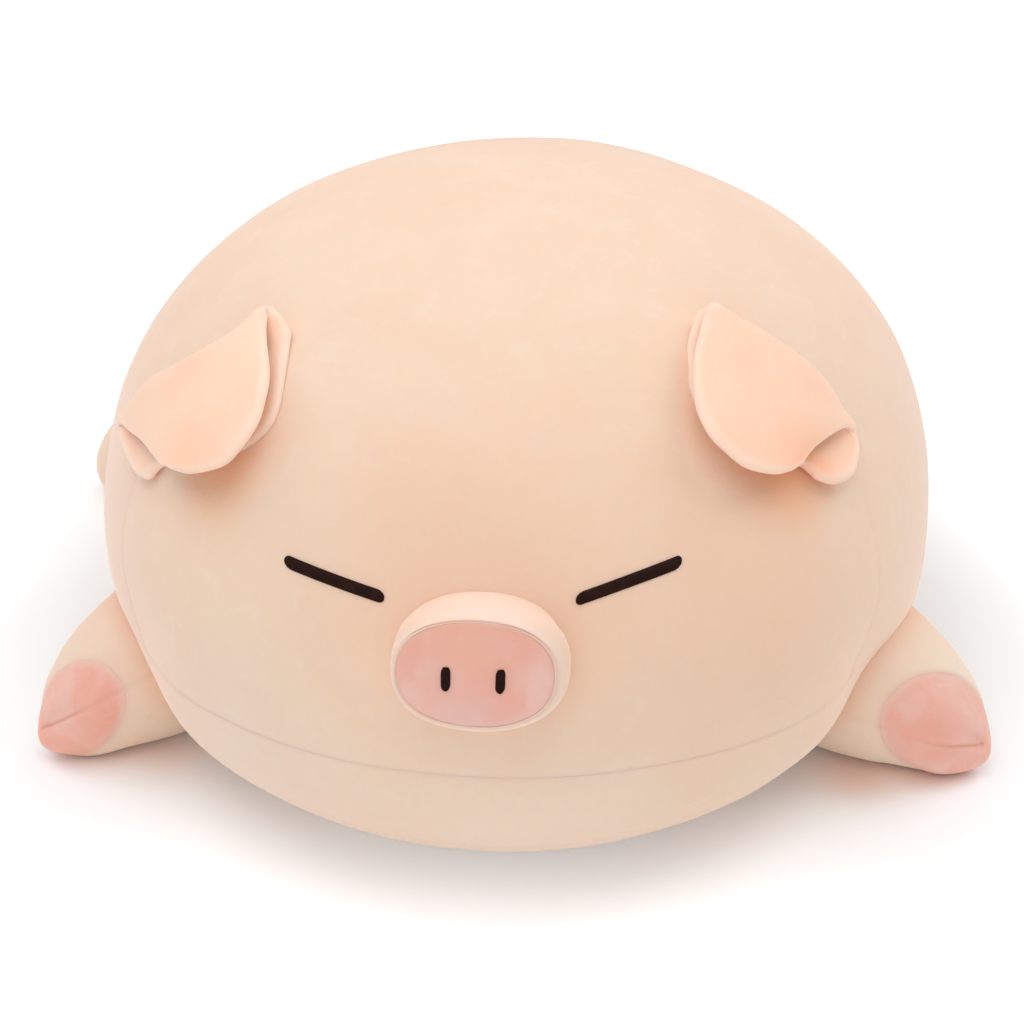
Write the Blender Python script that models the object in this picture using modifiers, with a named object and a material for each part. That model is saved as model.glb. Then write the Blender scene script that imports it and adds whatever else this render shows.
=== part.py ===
# A plush pig lying on its belly, as its separate cut, sewn and filled pieces.
# Metres, +Z up, the face towards -Y, the pig's own left towards +X.
# The origin is on the surface it lies on, under the widest part of the body.

import math

import bmesh
import bpy
from mathutils import Matrix, Vector
from mathutils.bvhtree import BVHTree

# Body: one filled form, measured from its widest point
body_half_width = 0.200
body_front_length = 0.242
body_rear_length = 0.220
crown_rise = 0.151
belly_drop = 0.098
base_cut = 0.0005
crown_fullness_share = 2.21
belly_fullness_share = 3.0
body_turn_steps = 36
body_rise_steps = 18

# Cloth, filling and the slack between them
cover_thickness = 0.002
cloth_gap = 0.0003
seam_gap = 0.0006
joint_gap = 0.0003
limb_gap = 0.0008
sewn_gap = 0.0004
weld_distance = 0.00001
cut_overrun = 0.100

# Seams of the body cover
belly_seam_height = 0.0895
belly_seam_fall_share = 0.15
back_seam_distance = 0.165
back_seam_lean_share = 0.10
dart_seam_distance = 0.122
dart_lean_share = 0.215
dart_top_height = 0.172
dart_start = 0.100

# Snout, a filled barrel with a flat face
snout_face_width = 0.071
snout_face_height = 0.0498
snout_bulge = 0.0022
snout_root_pinch = 0.0020
snout_side_offset = 0.0022
snout_length = 0.028
snout_sunk_length = 0.012
snout_reach_share = 0.9649
snout_height = 0.1495
snout_tilt = math.radians(10)
snout_edge_round = 0.004
snout_face_thickness = 0.002
snout_steps = 24

# Embroidery, raised a little above the cloth
thread_rise = 0.0011
eye_inner_offset = 0.0405
eye_outer_offset = 0.0857
eye_inner_height = 0.1645
eye_outer_height = 0.1694
eye_arch = 0.0006
eye_band_width = 0.0041
eye_steps = 10
nostril_spacing = 0.0226
nostril_drop = 0.0023
nostril_width = 0.0040
nostril_height = 0.0110

# Ears: a leaf of two sewn layers folded along its length, the back half sewn to the head
ear_layer = 0.0020
ear_layer_gap = 0.0007
ear_seat_gap = 0.0008
ear_inner_fold_radius = 0.0056
ear_drop = 0.066
ear_back_drop = 0.056
ear_roundness_share = 2.3
ear_skew_share = 1.45
ear_least_share = 0.12
ear_back_reach_share = 1.16
ear_hinge_sink = 0.0065
ear_lift = 0.030
ear_reach = 0.090
seat_search_steps = 30
ear_length_steps = 10
ear_drop_steps = 4
ear_bend_steps = 5

# Where each ear's fold runs over the head, seen from the middle of the body at its widest height:
# how far its two ends are turned from the face to the side, and how far they rise
ear_fold_ends = {
    "left": {
        "inner_turn": math.radians(49.953),
        "inner_rise": math.radians(49.217),
        "outer_turn": math.radians(56.100),
        "outer_rise": math.radians(25.393),
    },
    "right": {
        "inner_turn": math.radians(53.443),
        "inner_rise": math.radians(45.173),
        "outer_turn": math.radians(60.453),
        "outer_rise": math.radians(18.759),
    },
}

# Limbs: short full cones with blunt noses, lying on the floor, with a pink cap on each nose
limb_root_radius = 0.0419
limb_middle_radius = 0.0357
limb_tip_radius = 0.0255
limb_length = 0.068
limb_nose_length = 0.0276
limb_nose_fullness_share = 1.47
limb_back_length = 0.030
limb_floor_gap = 0.001
limb_steps = 14
limb_tip_steps = 5
pivot_search_steps = 200
pivot_outside_share = 1.02

# How far from its root, along the limb, the seam of its cap crosses the middle
cap_seam_distance = {"front_left": 0.0754, "front_right": 0.0808, "hind_left": 0.0760, "hind_right": 0.0840}

# Each limb's root, to the side and to the front of the widest point, as shares of the body's
# half width and of its front or rear length; reach is its angle forward of straight sideways,
# and cap_turn and cap_rise are how far its cap's seam faces forward and up of that
limb_shares = {
    "front_left": {
        "side": 1,
        "out_share": 0.750,
        "front_share": 0.2223,
        "reach": math.radians(24.7),
        "cap_turn": math.radians(36),
        "cap_rise": math.radians(3),
    },
    "front_right": {
        "side": -1,
        "out_share": 0.742,
        "front_share": 0.2492,
        "reach": math.radians(37.6),
        "cap_turn": math.radians(29.5),
        "cap_rise": math.radians(11.5),
    },
    "hind_left": {
        "side": 1,
        "out_share": 0.550,
        "front_share": -0.575,
        "reach": math.radians(-55),
        "cap_turn": 0.0,
        "cap_rise": math.radians(6),
    },
    "hind_right": {
        "side": -1,
        "out_share": 0.800,
        "front_share": -0.5273,
        "reach": math.radians(-25),
        "cap_turn": math.radians(-45),
        "cap_rise": math.radians(6),
    },
}

# Tail: one curl, its root seated in the back seam
tail_root_height = 0.120
tail_thickness = 0.013
tail_curl_radius = 0.013
tail_lead = 0.016
tail_curl_pitch = 0.020
tail_curl_steps = 9
tail_root_share = 0.30
tail_tip_share = 0.40

# Closing thread laced across the back seam, under the tail
stitch_count = 9
stitch_pitch = 0.006
stitch_length = 0.006
stitch_thickness = 0.0009
stitch_first_height = 0.045

# Colours and finishes
peach = (0.93, 0.69, 0.54)
pink = (0.87, 0.45, 0.39)
thread_brown = (0.03, 0.015, 0.012)
fibre_white = (0.85, 0.84, 0.82)
cloth_roughness = 0.9

widest_height = belly_drop - base_cut
limb_root_height = limb_root_radius + limb_floor_gap
limb_tip_height = limb_tip_radius + limb_floor_gap


def clear_scene():
    for thing in list(bpy.data.objects):
        bpy.data.objects.remove(thing, do_unlink=True)


def new_collection(name):
    collection = bpy.data.collections.new(name)
    bpy.context.scene.collection.children.link(collection)
    return collection


clear_scene()
parts = new_collection("plush_pig")
cutters = new_collection("cutters")


def material(name, colour):
    made = bpy.data.materials.get(name)
    if made is None:
        made = bpy.data.materials.new(name)
        made.use_nodes = True
        shader = made.node_tree.nodes["Principled BSDF"]
        shader.inputs["Base Color"].default_value = (*colour, 1.0)
        shader.inputs["Roughness"].default_value = cloth_roughness
        shader.inputs["Metallic"].default_value = 0.0
    return made


def peach_velvet():
    return material("peach_velvet", peach)


def pink_velvet():
    return material("pink_velvet", pink)


def thread():
    return material("embroidery_thread", thread_brown)


def fibre():
    return material("fibre_filling", fibre_white)


def add_object(name, data, finish):
    made = bpy.data.objects.new(name, data)
    parts.objects.link(made)
    data.materials.clear()
    data.materials.append(finish)
    return made


def mesh_from(form, name):
    data = bpy.data.meshes.new(name)
    form.to_mesh(data)
    form.free()
    data.shade_smooth()
    return data


def add_form(name, form, finish):
    return add_object(name, mesh_from(form, name), finish)


def add_cutter(name, form):
    cutter = bpy.data.objects.new(name, mesh_from(form, name))
    cutters.objects.link(cutter)
    cutter.hide_render = True
    cutter.display_type = "WIRE"
    return cutter


def cut(target, cutter, operation="DIFFERENCE"):
    step = target.modifiers.new("cut_by_" + cutter.name, "BOOLEAN")
    step.operation = operation
    step.object = cutter
    step.solver = "EXACT"


def body_place(unit):
    # A point of the unit sphere, moved to the body's outer surface
    ring = math.hypot(unit.x, unit.y)
    fullness = crown_fullness_share if unit.z > 0 else belly_fullness_share
    reach = ring ** (2 / fullness)
    climb = abs(unit.z) ** (2 / fullness)
    across = unit.x / ring if ring > weld_distance else 0.0
    along = unit.y / ring if ring > weld_distance else 0.0
    length = body_front_length if along < 0 else body_rear_length
    rise = crown_rise if unit.z > 0 else -belly_drop
    return Vector((body_half_width * reach * across, length * reach * along, widest_height + rise * climb))


def keep_side(form, point, outward):
    # Keeps what lies against the direction outward of a plane through point
    everything = form.verts[:] + form.edges[:] + form.faces[:]
    bmesh.ops.bisect_plane(
        form, geom=everything, dist=weld_distance, plane_co=point, plane_no=outward, clear_outer=True
    )


def body_form():
    form = bmesh.new()
    bmesh.ops.create_uvsphere(form, u_segments=body_turn_steps, v_segments=body_rise_steps, radius=1)
    for vert in form.verts:
        vert.co = body_place(vert.co)
    keep_side(form, Vector(), Vector((0, 0, -1)))
    bmesh.ops.holes_fill(form, edges=[edge for edge in form.edges if edge.is_boundary])
    bmesh.ops.recalc_face_normals(form, faces=form.faces[:])
    return form


def grown(form, distance):
    # The form moved outwards by an even distance, or inwards by a negative one
    form.normal_update()
    moves = [vert.normal * vert.calc_shell_factor() * distance for vert in form.verts]
    for vert, move in zip(form.verts, moves):
        vert.co += move
    return form


def body_tree():
    form = body_form()
    tree = BVHTree.FromBMesh(form)
    form.free()
    return tree


body_surface = body_tree()


def seat(above, inward):
    # Where a line from outside first meets the body, and which way the cloth faces there
    place, facing, _, _ = body_surface.ray_cast(above, inward)
    return place, facing


def front_seat(offset, height):
    return seat(Vector((offset, -body_front_length - cut_overrun, height)), Vector((0, 1, 0)))


def add_cover_panel(name, planes):
    form = body_form()
    for point, outward in planes:
        keep_side(form, point + outward.normalized() * -seam_gap / 2, outward)
    panel = add_form(name, form, peach_velvet())
    wall = panel.modifiers.new("cloth", "SOLIDIFY")
    wall.thickness = cover_thickness
    wall.offset = -1
    wall.use_even_offset = True
    return panel


def add_body():
    stuffing = grown(body_form(), -cover_thickness - cloth_gap)
    add_form("body_stuffing", stuffing, fibre())
    belly_point = Vector((0, -body_front_length, belly_seam_height))
    belly_up = Vector((0, belly_seam_fall_share, 1))
    back_point = Vector((0, back_seam_distance, widest_height))
    backwards = Vector((0, 1, back_seam_lean_share))
    middle = Vector((1, 0, 0))
    add_cover_panel("belly_panel", [(belly_point, belly_up)])
    face = add_cover_panel("face_panel", [(belly_point, -belly_up), (back_point, backwards)])
    for side, outward in (("left", -middle), ("right", middle)):
        add_cover_panel(
            "back_panel_" + side,
            [(belly_point, -belly_up), (back_point, -backwards), (Vector(), outward)],
        )
    for side in (1, -1):
        cut(face, dart_cutter(side))


def dart_cutter(side):
    # A thin upright slab where the face panel is sewn to itself between ear and arm
    slab = bmesh.new()
    bmesh.ops.create_cube(slab, size=1)
    bottom = belly_seam_height - cut_overrun
    length = dart_top_height - bottom
    width = cut_overrun + body_half_width - dart_start
    bmesh.ops.scale(slab, vec=Vector((width, seam_gap, length)), verts=slab.verts)
    middle = Vector((side * (dart_start + width / 2), 0, bottom + length / 2))
    bmesh.ops.translate(slab, vec=middle, verts=slab.verts)
    for vert in slab.verts:
        vert.co.y += dart_lean_share * (vert.co.z - widest_height) - dart_seam_distance
    return add_cutter("dart_left" if side > 0 else "dart_right", slab)


def turned(name, profile, steps, finish):
    # A closed turned solid about local Z; the profile runs from its top to its bottom
    data = bpy.data.meshes.new(name)
    points = [(radius, 0, height) for radius, height in profile]
    data.from_pydata(points, [(i, i + 1) for i in range(len(points) - 1)], [])
    solid = add_object(name, data, finish)
    screw = solid.modifiers.new("turn", "SCREW")
    screw.steps = steps
    screw.render_steps = steps
    screw.use_merge_vertices = True
    screw.merge_threshold = weld_distance
    screw.use_smooth_shade = True
    return solid


def as_cutter(solid):
    parts.objects.unlink(solid)
    cutters.objects.link(solid)
    solid.hide_render = True
    solid.display_type = "WIRE"
    return solid


def half_space(name, point, outward):
    # A large block that fills the side of a plane towards outward
    block = bmesh.new()
    bmesh.ops.create_cube(block, size=4 * cut_overrun)
    bmesh.ops.translate(block, vec=Vector((0, 0, 2 * cut_overrun)), verts=block.verts)
    turn = outward.to_track_quat("Z", "Y").to_matrix().to_4x4()
    bmesh.ops.transform(block, matrix=Matrix.Translation(point) @ turn, verts=block.verts)
    return add_cutter(name, block)


def hinge(name, place, axis):
    # An empty on the joint's axis, its local Z along it
    pivot = bpy.data.objects.new(name, None)
    parts.objects.link(pivot)
    pivot.empty_display_size = limb_tip_radius
    pivot.matrix_world = Matrix.Translation(place) @ axis.to_track_quat("Z", "Y").to_matrix().to_4x4()
    return pivot


def carry(pivot, pieces):
    for piece in pieces:
        piece.parent = pivot
        piece.matrix_parent_inverse = pivot.matrix_world.inverted()


def barrel_sides(inset, back_extra):
    # The snout's side from its front edge to its sunk root, along its axis; height 0 is its root
    half = snout_face_width / 2 - inset
    back = -snout_sunk_length - back_extra
    return [
        (half, snout_length - snout_edge_round),
        (half + snout_bulge, snout_length * 0.5),
        (half + snout_bulge * 0.6, snout_length * 0.2),
        (half - snout_root_pinch, back),
        (0, back),
    ]


def rounded_front():
    half = snout_face_width / 2
    return [
        (0, snout_length),
        (half - snout_edge_round, snout_length),
        (half - snout_edge_round * 0.3, snout_length - snout_edge_round * 0.3),
    ]


def flat_front(inset, front):
    half = snout_face_width / 2 - inset
    return [(0, front), (half, front)]


def place_snout_piece(piece):
    forward = Vector((0, -math.cos(snout_tilt), math.sin(snout_tilt)))
    root = Vector((snout_side_offset, -body_front_length * snout_reach_share, snout_height))
    squeeze = Matrix.Diagonal((1, snout_face_height / snout_face_width, 1, 1))
    turn = Matrix.Rotation(math.pi / 2 - snout_tilt, 4, "X")
    piece.matrix_world = Matrix.Translation(root) @ turn @ squeeze
    return forward


def add_snout(body_cutter):
    face_back = snout_face_thickness + cloth_gap
    wall_profile = rounded_front() + barrel_sides(0, 0)
    beyond = flat_front(cover_thickness, snout_length + cut_overrun)
    hollow_profile = beyond + barrel_sides(cover_thickness, cut_overrun)
    inset = cover_thickness + cloth_gap
    stuffing_profile = flat_front(inset, snout_length - face_back) + barrel_sides(inset, 0)
    wall = turned("snout_wall", wall_profile, snout_steps, peach_velvet())
    hollow = as_cutter(turned("snout_hollow", hollow_profile, snout_steps, peach_velvet()))
    stuffing = turned("snout_stuffing", stuffing_profile, snout_steps, fibre())
    disc = turned("snout_face", face_profile(face_back), snout_steps, pink_velvet())
    for piece in (wall, hollow, stuffing, disc):
        place_snout_piece(piece)
    cut(wall, hollow)
    cut(wall, body_cutter)
    cut(stuffing, body_cutter)
    for side, offset in (("left", 1), ("right", -1)):
        add_nostril(side, offset)


def face_profile(face_back):
    # A thin round cloth face inside the wall's front rim
    half = snout_face_width / 2 - cover_thickness - cloth_gap
    edge = half - cover_thickness / 2
    return [
        (0, snout_length + cover_thickness / 2),
        (edge * 0.7, snout_length + cover_thickness * 0.4),
        (edge, snout_length),
        (half, snout_length - cover_thickness / 2),
        (half, snout_length - face_back + cloth_gap),
        (0, snout_length - face_back + cloth_gap),
    ]


def add_nostril(side, offset):
    form = bmesh.new()
    half = nostril_width / 2
    bmesh.ops.create_cone(form, cap_ends=True, segments=12, radius1=half, radius2=half, depth=thread_rise)
    stretch = (nostril_height - nostril_width) / 2
    for vert in form.verts:
        vert.co.y += stretch if vert.co.y > 0 else -stretch
    bump = snout_length + cover_thickness / 2 + sewn_gap + thread_rise / 2
    place = Vector((offset * nostril_spacing / 2, -nostril_drop, bump))
    bmesh.ops.translate(form, vec=place, verts=form.verts)
    squeeze_back = snout_face_width / snout_face_height
    bmesh.ops.scale(form, vec=Vector((1, squeeze_back, 1)), verts=form.verts)
    place_snout_piece(add_form("nostril_" + side, form, thread()))


def eye_point(share, offset_side, across):
    # A point of the eye's band: share runs from its inner to its outer end, across from edge to edge
    run = eye_outer_offset - eye_inner_offset
    lift = eye_outer_height - eye_inner_height
    offset = eye_inner_offset + run * share
    height = eye_inner_height + lift * share + eye_arch * math.sin(math.pi * share)
    place, facing = front_seat(offset_side * offset, height + across)
    return place, facing


def add_eye(side, sign):
    form = bmesh.new()
    bmesh.ops.create_grid(form, x_segments=eye_steps, y_segments=2, size=1)
    for vert in form.verts:
        share = (vert.co.x + 1) / 2
        end = min(share, 1 - share) * eye_steps
        width = eye_band_width / 2 * (1 if end > 0.5 else 0.55)
        place, facing = eye_point(share, sign, vert.co.y * width)
        crown = thread_rise if abs(vert.co.y) < 0.5 else thread_rise * 0.75
        vert.co = place + facing * (sewn_gap + crown)
    turn_outwards(form, Vector((0, -1, 0)))
    band = add_form("eye_" + side, form, thread())
    thick = band.modifiers.new("thread", "SOLIDIFY")
    thick.thickness = thread_rise * 0.75
    thick.offset = -1


def turn_outwards(form, outward):
    # Points the faces of an open sheet towards outward
    form.normal_update()
    if sum(face.normal.dot(outward) for face in form.faces) < 0:
        bmesh.ops.reverse_faces(form, faces=form.faces[:])


def ear_fold_end(sign, turn, rise):
    # Where the body is met in this direction from its middle, and which way the cloth faces there
    level = math.cos(rise)
    outward = Vector((sign * math.sin(turn) * level, -math.cos(turn) * level, math.sin(rise)))
    middle = Vector((0, 0, widest_height))
    far = body_half_width + body_front_length + body_rear_length
    return seat(middle + outward * far, -outward)


def ear_frame(side, sign):
    ends = ear_fold_ends[side]
    inner, facing_in = ear_fold_end(sign, ends["inner_turn"], ends["inner_rise"])
    outer, facing_out = ear_fold_end(sign, ends["outer_turn"], ends["outer_rise"])
    along = (outer - inner).normalized()
    outward = (facing_in + facing_out).normalized()
    outward = (outward - along * outward.dot(along)).normalized()
    down = along.cross(outward) * sign
    if down.z > 0:
        down = -down
    return inner, along, down, outward, (outer - inner).length


def ear_edge(share):
    # How far the leaf's rim lies from its fold, as a share of the drop; widest past the middle
    skewed = share ** ear_skew_share
    rounded = (1 - abs(2 * skewed - 1) ** ear_roundness_share) ** 0.5
    return ear_least_share + (1 - ear_least_share) * rounded


def ear_point(frame, share, down_distance, height):
    inner, along, down, outward, length = frame
    above = inner + along * (share * length) + down * down_distance + outward * ear_lift
    place = true_seat(above, -outward)
    return place + body_facing(place) * height


def ear_layer_form(frame, fold_radius, fold_height, drop, flap):
    # One layer of cloth at mid thickness: the sewn back half, or the fold with the hanging front half
    form = bmesh.new()
    rows = ear_drop_steps + (ear_bend_steps if flap else 0)
    bmesh.ops.create_grid(form, x_segments=ear_length_steps, y_segments=rows, size=1)
    low = fold_height - fold_radius
    for vert in form.verts:
        share = (vert.co.x + 1) / 2
        row = round((vert.co.y + 1) / 2 * rows)
        edge = drop * ear_edge(share)
        if not flap:
            away = seam_gap + (edge - seam_gap) * row / rows
            vert.co = ear_point(frame, share * ear_back_reach_share, away, low)
        elif row < ear_bend_steps:
            angle = -math.pi / 2 - math.pi * row / ear_bend_steps
            lift = fold_height + fold_radius * math.sin(angle)
            vert.co = ear_point(frame, share, fold_radius * math.cos(angle), lift)
        else:
            away = edge * (row - ear_bend_steps) / ear_drop_steps
            vert.co = ear_point(frame, share, away, fold_height + fold_radius)
    return form


def add_ear_layer(name, form, frame):
    turn_outwards(form, frame[3])
    layer = add_form(name, form, peach_velvet())
    cloth = layer.modifiers.new("cloth", "SOLIDIFY")
    cloth.thickness = ear_layer
    cloth.offset = 0
    cloth.use_even_offset = True
    return layer


def add_ear(side, sign):
    frame = ear_frame(side, sign)
    inner, along, down, outward, length = frame
    step = ear_layer + ear_layer_gap
    outer_low = ear_seat_gap + ear_layer / 2
    outer_radius = ear_inner_fold_radius + step
    fold_height = outer_low + outer_radius
    flaps = []
    for layer, radius in (("outer", outer_radius), ("lining", ear_inner_fold_radius)):
        back = ear_layer_form(frame, radius, fold_height, ear_back_drop, False)
        add_ear_layer(f"ear_{side}_back_{layer}", back, frame)
        flap = ear_layer_form(frame, radius, fold_height, ear_drop, True)
        flaps.append(add_ear_layer(f"ear_{side}_flap_{layer}", flap, frame))
    middle = ear_point(frame, 0.5, 0, -ear_hinge_sink)
    place = middle - down * (outer_radius + ear_layer / 2)
    axis = down.cross(outward)
    carry(hinge(f"ear_{side}_flip", place, axis), flaps)


def limb_profile(inset, back_extra):
    # Down the outer side from the tip to the root, along the limb's own axis
    tip = limb_tip_radius - inset
    root = limb_root_radius - inset
    points = []
    nose = limb_nose_length - inset
    for step in range(limb_tip_steps):
        angle = math.pi / 2 * (1 - step / limb_tip_steps)
        across = math.cos(angle) ** (2 / limb_nose_fullness_share)
        onward = math.sin(angle) ** (2 / limb_nose_fullness_share)
        points.append((tip * across, limb_length + nose * onward))
    points.append((tip, limb_length))
    points.append((limb_middle_radius - inset, limb_length / 2))
    points.append((root, 0))
    points.append((root, -limb_back_length - back_extra))
    points.append((0, -limb_back_length - back_extra))
    return points


def limb_places(shares):
    side = shares["side"]
    length = body_front_length if shares["front_share"] > 0 else body_rear_length
    root = Vector((
        side * shares["out_share"] * body_half_width,
        -shares["front_share"] * length,
        limb_root_height,
    ))
    heading = Vector((side * math.cos(shares["reach"]), -math.sin(shares["reach"]), 0))
    drop = limb_root_height - limb_tip_height
    flat_run = math.sqrt(limb_length ** 2 - drop ** 2)
    tip = root + heading * flat_run - Vector((0, 0, drop))
    return root, tip, heading


def add_limb(name, shares, body_cutter):
    root, tip, heading = limb_places(shares)
    axis = (tip - root).normalized()
    placing = Matrix.Translation(root) @ axis.to_track_quat("Z", "Y").to_matrix().to_4x4()
    sleeve = turned(name + "_sleeve", limb_profile(0, 0), limb_steps, peach_velvet())
    cap = turned(name + "_hoof_cap", limb_profile(0, 0), limb_steps, pink_velvet())
    inner = turned(name + "_hollow", limb_profile(cover_thickness, cut_overrun), limb_steps, peach_velvet())
    hollow = as_cutter(inner)
    stuffing = turned(name + "_stuffing", limb_profile(cover_thickness + cloth_gap, 0), limb_steps, fibre())
    for piece in (sleeve, cap, hollow, stuffing):
        piece.matrix_world = placing
    turn = Matrix.Rotation(-shares["side"] * shares["cap_turn"], 4, "Z")
    facing = (turn @ heading + Vector((0, 0, math.sin(shares["cap_rise"])))).normalized()
    seam_point = root + axis * cap_seam_distance[name]
    cut(sleeve, hollow)
    cut(sleeve, body_cutter)
    cut(sleeve, half_space(name + "_cap_side", seam_point - facing * seam_gap / 2, facing))
    cut(cap, hollow)
    cut(cap, body_cutter)
    cut(cap, half_space(name + "_sleeve_side", seam_point + facing * seam_gap / 2, -facing))
    cut(stuffing, body_cutter)
    onward = -1 if shares["front_share"] > 0 else 1
    upright = Vector((0, 0, 1))
    sideways = heading.cross(upright) * shares["side"] * -onward
    pivot = limb_pivot(root, tip, sideways)
    carry(hinge(name + "_swing", pivot, upright * shares["side"] * onward), [sleeve, cap, stuffing])


def body_share(point):
    # Below 1 inside the body, above 1 outside it
    length = body_front_length if point.y < 0 else body_rear_length
    ring = math.hypot(point.x / body_half_width, point.y / length)
    above = point.z > widest_height
    rise = crown_rise if above else belly_drop
    fullness = crown_fullness_share if above else belly_fullness_share
    return ring ** fullness + (abs(point.z - widest_height) / rise) ** fullness


def true_seat(above, inward):
    # Where a line from outside first meets the body's true surface, found by halving
    near = 0.0
    far = ear_reach
    for _ in range(seat_search_steps):
        middle = (near + far) / 2
        if body_share(above + inward * middle) > 1:
            near = middle
        else:
            far = middle
    return above + inward * far


def body_facing(point):
    # Which way the body's true surface faces at a point on it
    length = body_front_length if point.y < 0 else body_rear_length
    above = point.z > widest_height
    rise = crown_rise if above else -belly_drop
    fullness = crown_fullness_share if above else belly_fullness_share
    spread = math.hypot(point.x / body_half_width, point.y / length) ** (fullness - 2)
    climb = ((point.z - widest_height) / rise) ** (fullness - 1) / rise
    across = spread * point.x / body_half_width ** 2
    along = spread * point.y / length ** 2
    return Vector((across, along, climb)).normalized()


def limb_pivot(root, tip, sideways):
    # Where the limb's own side leaves the body, on the side it swings towards
    for step in range(pivot_search_steps):
        share = step / pivot_search_steps
        radius = limb_root_radius + (limb_tip_radius - limb_root_radius) * share
        place = root.lerp(tip, share) + sideways * radius
        if body_share(place) > pivot_outside_share:
            return place
    return tip


def tail_points(root, back):
    # A straight lead out of the seam, then one rising curl
    side = Vector((1, 0, 0))
    up = Vector((0, 0, 1))
    points = [root + back * (tail_lead * i / 3) for i in range(4)]
    start = points[-1]
    for step in range(1, tail_curl_steps + 1):
        share = step / tail_curl_steps
        angle = 1.55 * math.pi * share
        spread = tail_curl_radius * (1 - 0.25 * share)
        across = side * spread * math.sin(angle)
        climb = up * spread * (1 - math.cos(angle))
        points.append(start + across + climb + back * (tail_curl_pitch * share))
    return points


def add_tail():
    back = Vector((0, 1, 0))
    place, _ = seat(Vector((0, body_rear_length + cut_overrun, tail_root_height)), -back)
    root = place + back * (joint_gap * 2)
    points = tail_points(root, back)
    data = bpy.data.curves.new("tail", "CURVE")
    data.dimensions = "3D"
    data.bevel_depth = tail_thickness / 2
    data.bevel_resolution = 2
    data.use_fill_caps = True
    spline = data.splines.new("POLY")
    spline.points.add(len(points) - 1)
    last = len(points) - 1
    for index, point in enumerate(points):
        spline.points[index].co = (*point, 1)
        spline.points[index].radius = 1 + (tail_tip_share - 1) * max(0, index / last - 0.5) * 2
    spline.points[0].radius = tail_root_share
    tail = add_object("tail", data, peach_velvet())
    axis = Vector((0, 0, 1))
    carry(hinge("tail_swing", root + back * tail_thickness / 2, axis), [tail])


def add_closing_thread():
    # One thread, laced from side to side over the back seam
    behind = body_rear_length + cut_overrun
    lift = stitch_thickness / 2 + sewn_gap
    points = []
    for index in range(2 * stitch_count + 1):
        offset = (0, stitch_length / 2, 0, -stitch_length / 2)[index % 4]
        height = stitch_first_height + index * stitch_pitch / 2
        place, facing = seat(Vector((offset, behind, height)), Vector((0, -1, 0)))
        points.append(place + facing * lift)
    data = bpy.data.curves.new("closing_thread", "CURVE")
    data.dimensions = "3D"
    data.bevel_depth = stitch_thickness / 2
    data.bevel_resolution = 1
    data.use_fill_caps = True
    spline = data.splines.new("POLY")
    spline.points.add(len(points) - 1)
    for index, point in enumerate(points):
        spline.points[index].co = (*point, 1)
    add_object("closing_thread", data, peach_velvet())


def build():
    add_body()
    body_cutter = add_cutter("body_clearance", grown(body_form(), joint_gap))
    limb_cutter = add_cutter("limb_clearance", grown(body_form(), limb_gap))
    add_snout(body_cutter)
    for side, sign in (("left", 1), ("right", -1)):
        add_eye(side, sign)
        add_ear(side, sign)
    for name, shares in limb_shares.items():
        add_limb(name, shares, limb_cutter)
    add_tail()
    add_closing_thread()


build()
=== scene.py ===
import math

import bmesh
import bpy
import numpy as np
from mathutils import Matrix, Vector, noise


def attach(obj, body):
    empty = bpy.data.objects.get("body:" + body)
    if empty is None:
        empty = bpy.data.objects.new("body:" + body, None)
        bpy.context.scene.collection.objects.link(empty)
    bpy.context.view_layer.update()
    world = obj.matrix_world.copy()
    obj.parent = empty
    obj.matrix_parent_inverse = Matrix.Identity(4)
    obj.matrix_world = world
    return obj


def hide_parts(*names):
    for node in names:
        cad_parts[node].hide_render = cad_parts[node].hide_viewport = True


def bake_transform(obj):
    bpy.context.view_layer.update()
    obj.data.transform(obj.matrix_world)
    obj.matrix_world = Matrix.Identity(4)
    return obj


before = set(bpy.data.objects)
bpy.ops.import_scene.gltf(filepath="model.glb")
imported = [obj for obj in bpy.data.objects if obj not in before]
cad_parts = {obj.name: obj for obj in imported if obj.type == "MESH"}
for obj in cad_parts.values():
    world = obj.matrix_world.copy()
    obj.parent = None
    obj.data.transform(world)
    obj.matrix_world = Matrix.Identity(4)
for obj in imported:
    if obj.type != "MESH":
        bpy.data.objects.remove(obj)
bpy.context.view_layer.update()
print("frame loaded:", len(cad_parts), "nodes")


# Vectors kept as rows of numbers, so that thousands of points move at once

def row(*values):
    return np.array(values, float)


def unit(rows):
    return rows / np.maximum(np.linalg.norm(rows, axis=-1, keepdims=True), 1e-12)


def smoothStep(value, low, high):
    share = np.clip((value - low) / (high - low), 0, 1)
    return share * share * (3 - 2 * share)


def hump(distance, width):
    return np.exp(-(distance / width) ** 2)


def ridge(distance, high, wide):
    return high * hump(distance, wide)


def powered(value, power):  # a power that keeps the value's sign
    return np.sign(value) * np.abs(value) ** power


def circleAngles(count):
    return np.linspace(0, 2 * math.pi, count, endpoint=False)


def catmull(points, count):
    # A smooth line through the points, cut into equal runs
    points = np.asarray(points, float)
    ends = np.vstack([2 * points[0] - points[1], points, 2 * points[-1] - points[-2]])
    fine = []
    for index in range(len(points) - 1):
        a, b, c, d = ends[index:index + 4]
        for t in np.linspace(0, 1, 24, endpoint=False):
            bend = (2 * a - 5 * b + 4 * c - d) * t ** 2
            twist = (3 * b - a - 3 * c + d) * t ** 3
            fine.append(0.5 * (2 * b + (c - a) * t + bend + twist))
    fine = np.array(fine + [points[-1]])
    run = np.concatenate([[0], np.cumsum(np.linalg.norm(np.diff(fine, axis=0), axis=1))])
    at = np.linspace(0, run[-1], count)
    return np.stack([np.interp(at, run, fine[:, axis]) for axis in range(fine.shape[1])], -1)


pigLeft, rearward, upright = row(1, 0, 0), row(0, 1, 0), row(0, 0, 1)


# The body's form: the same one that the solids have

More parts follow.
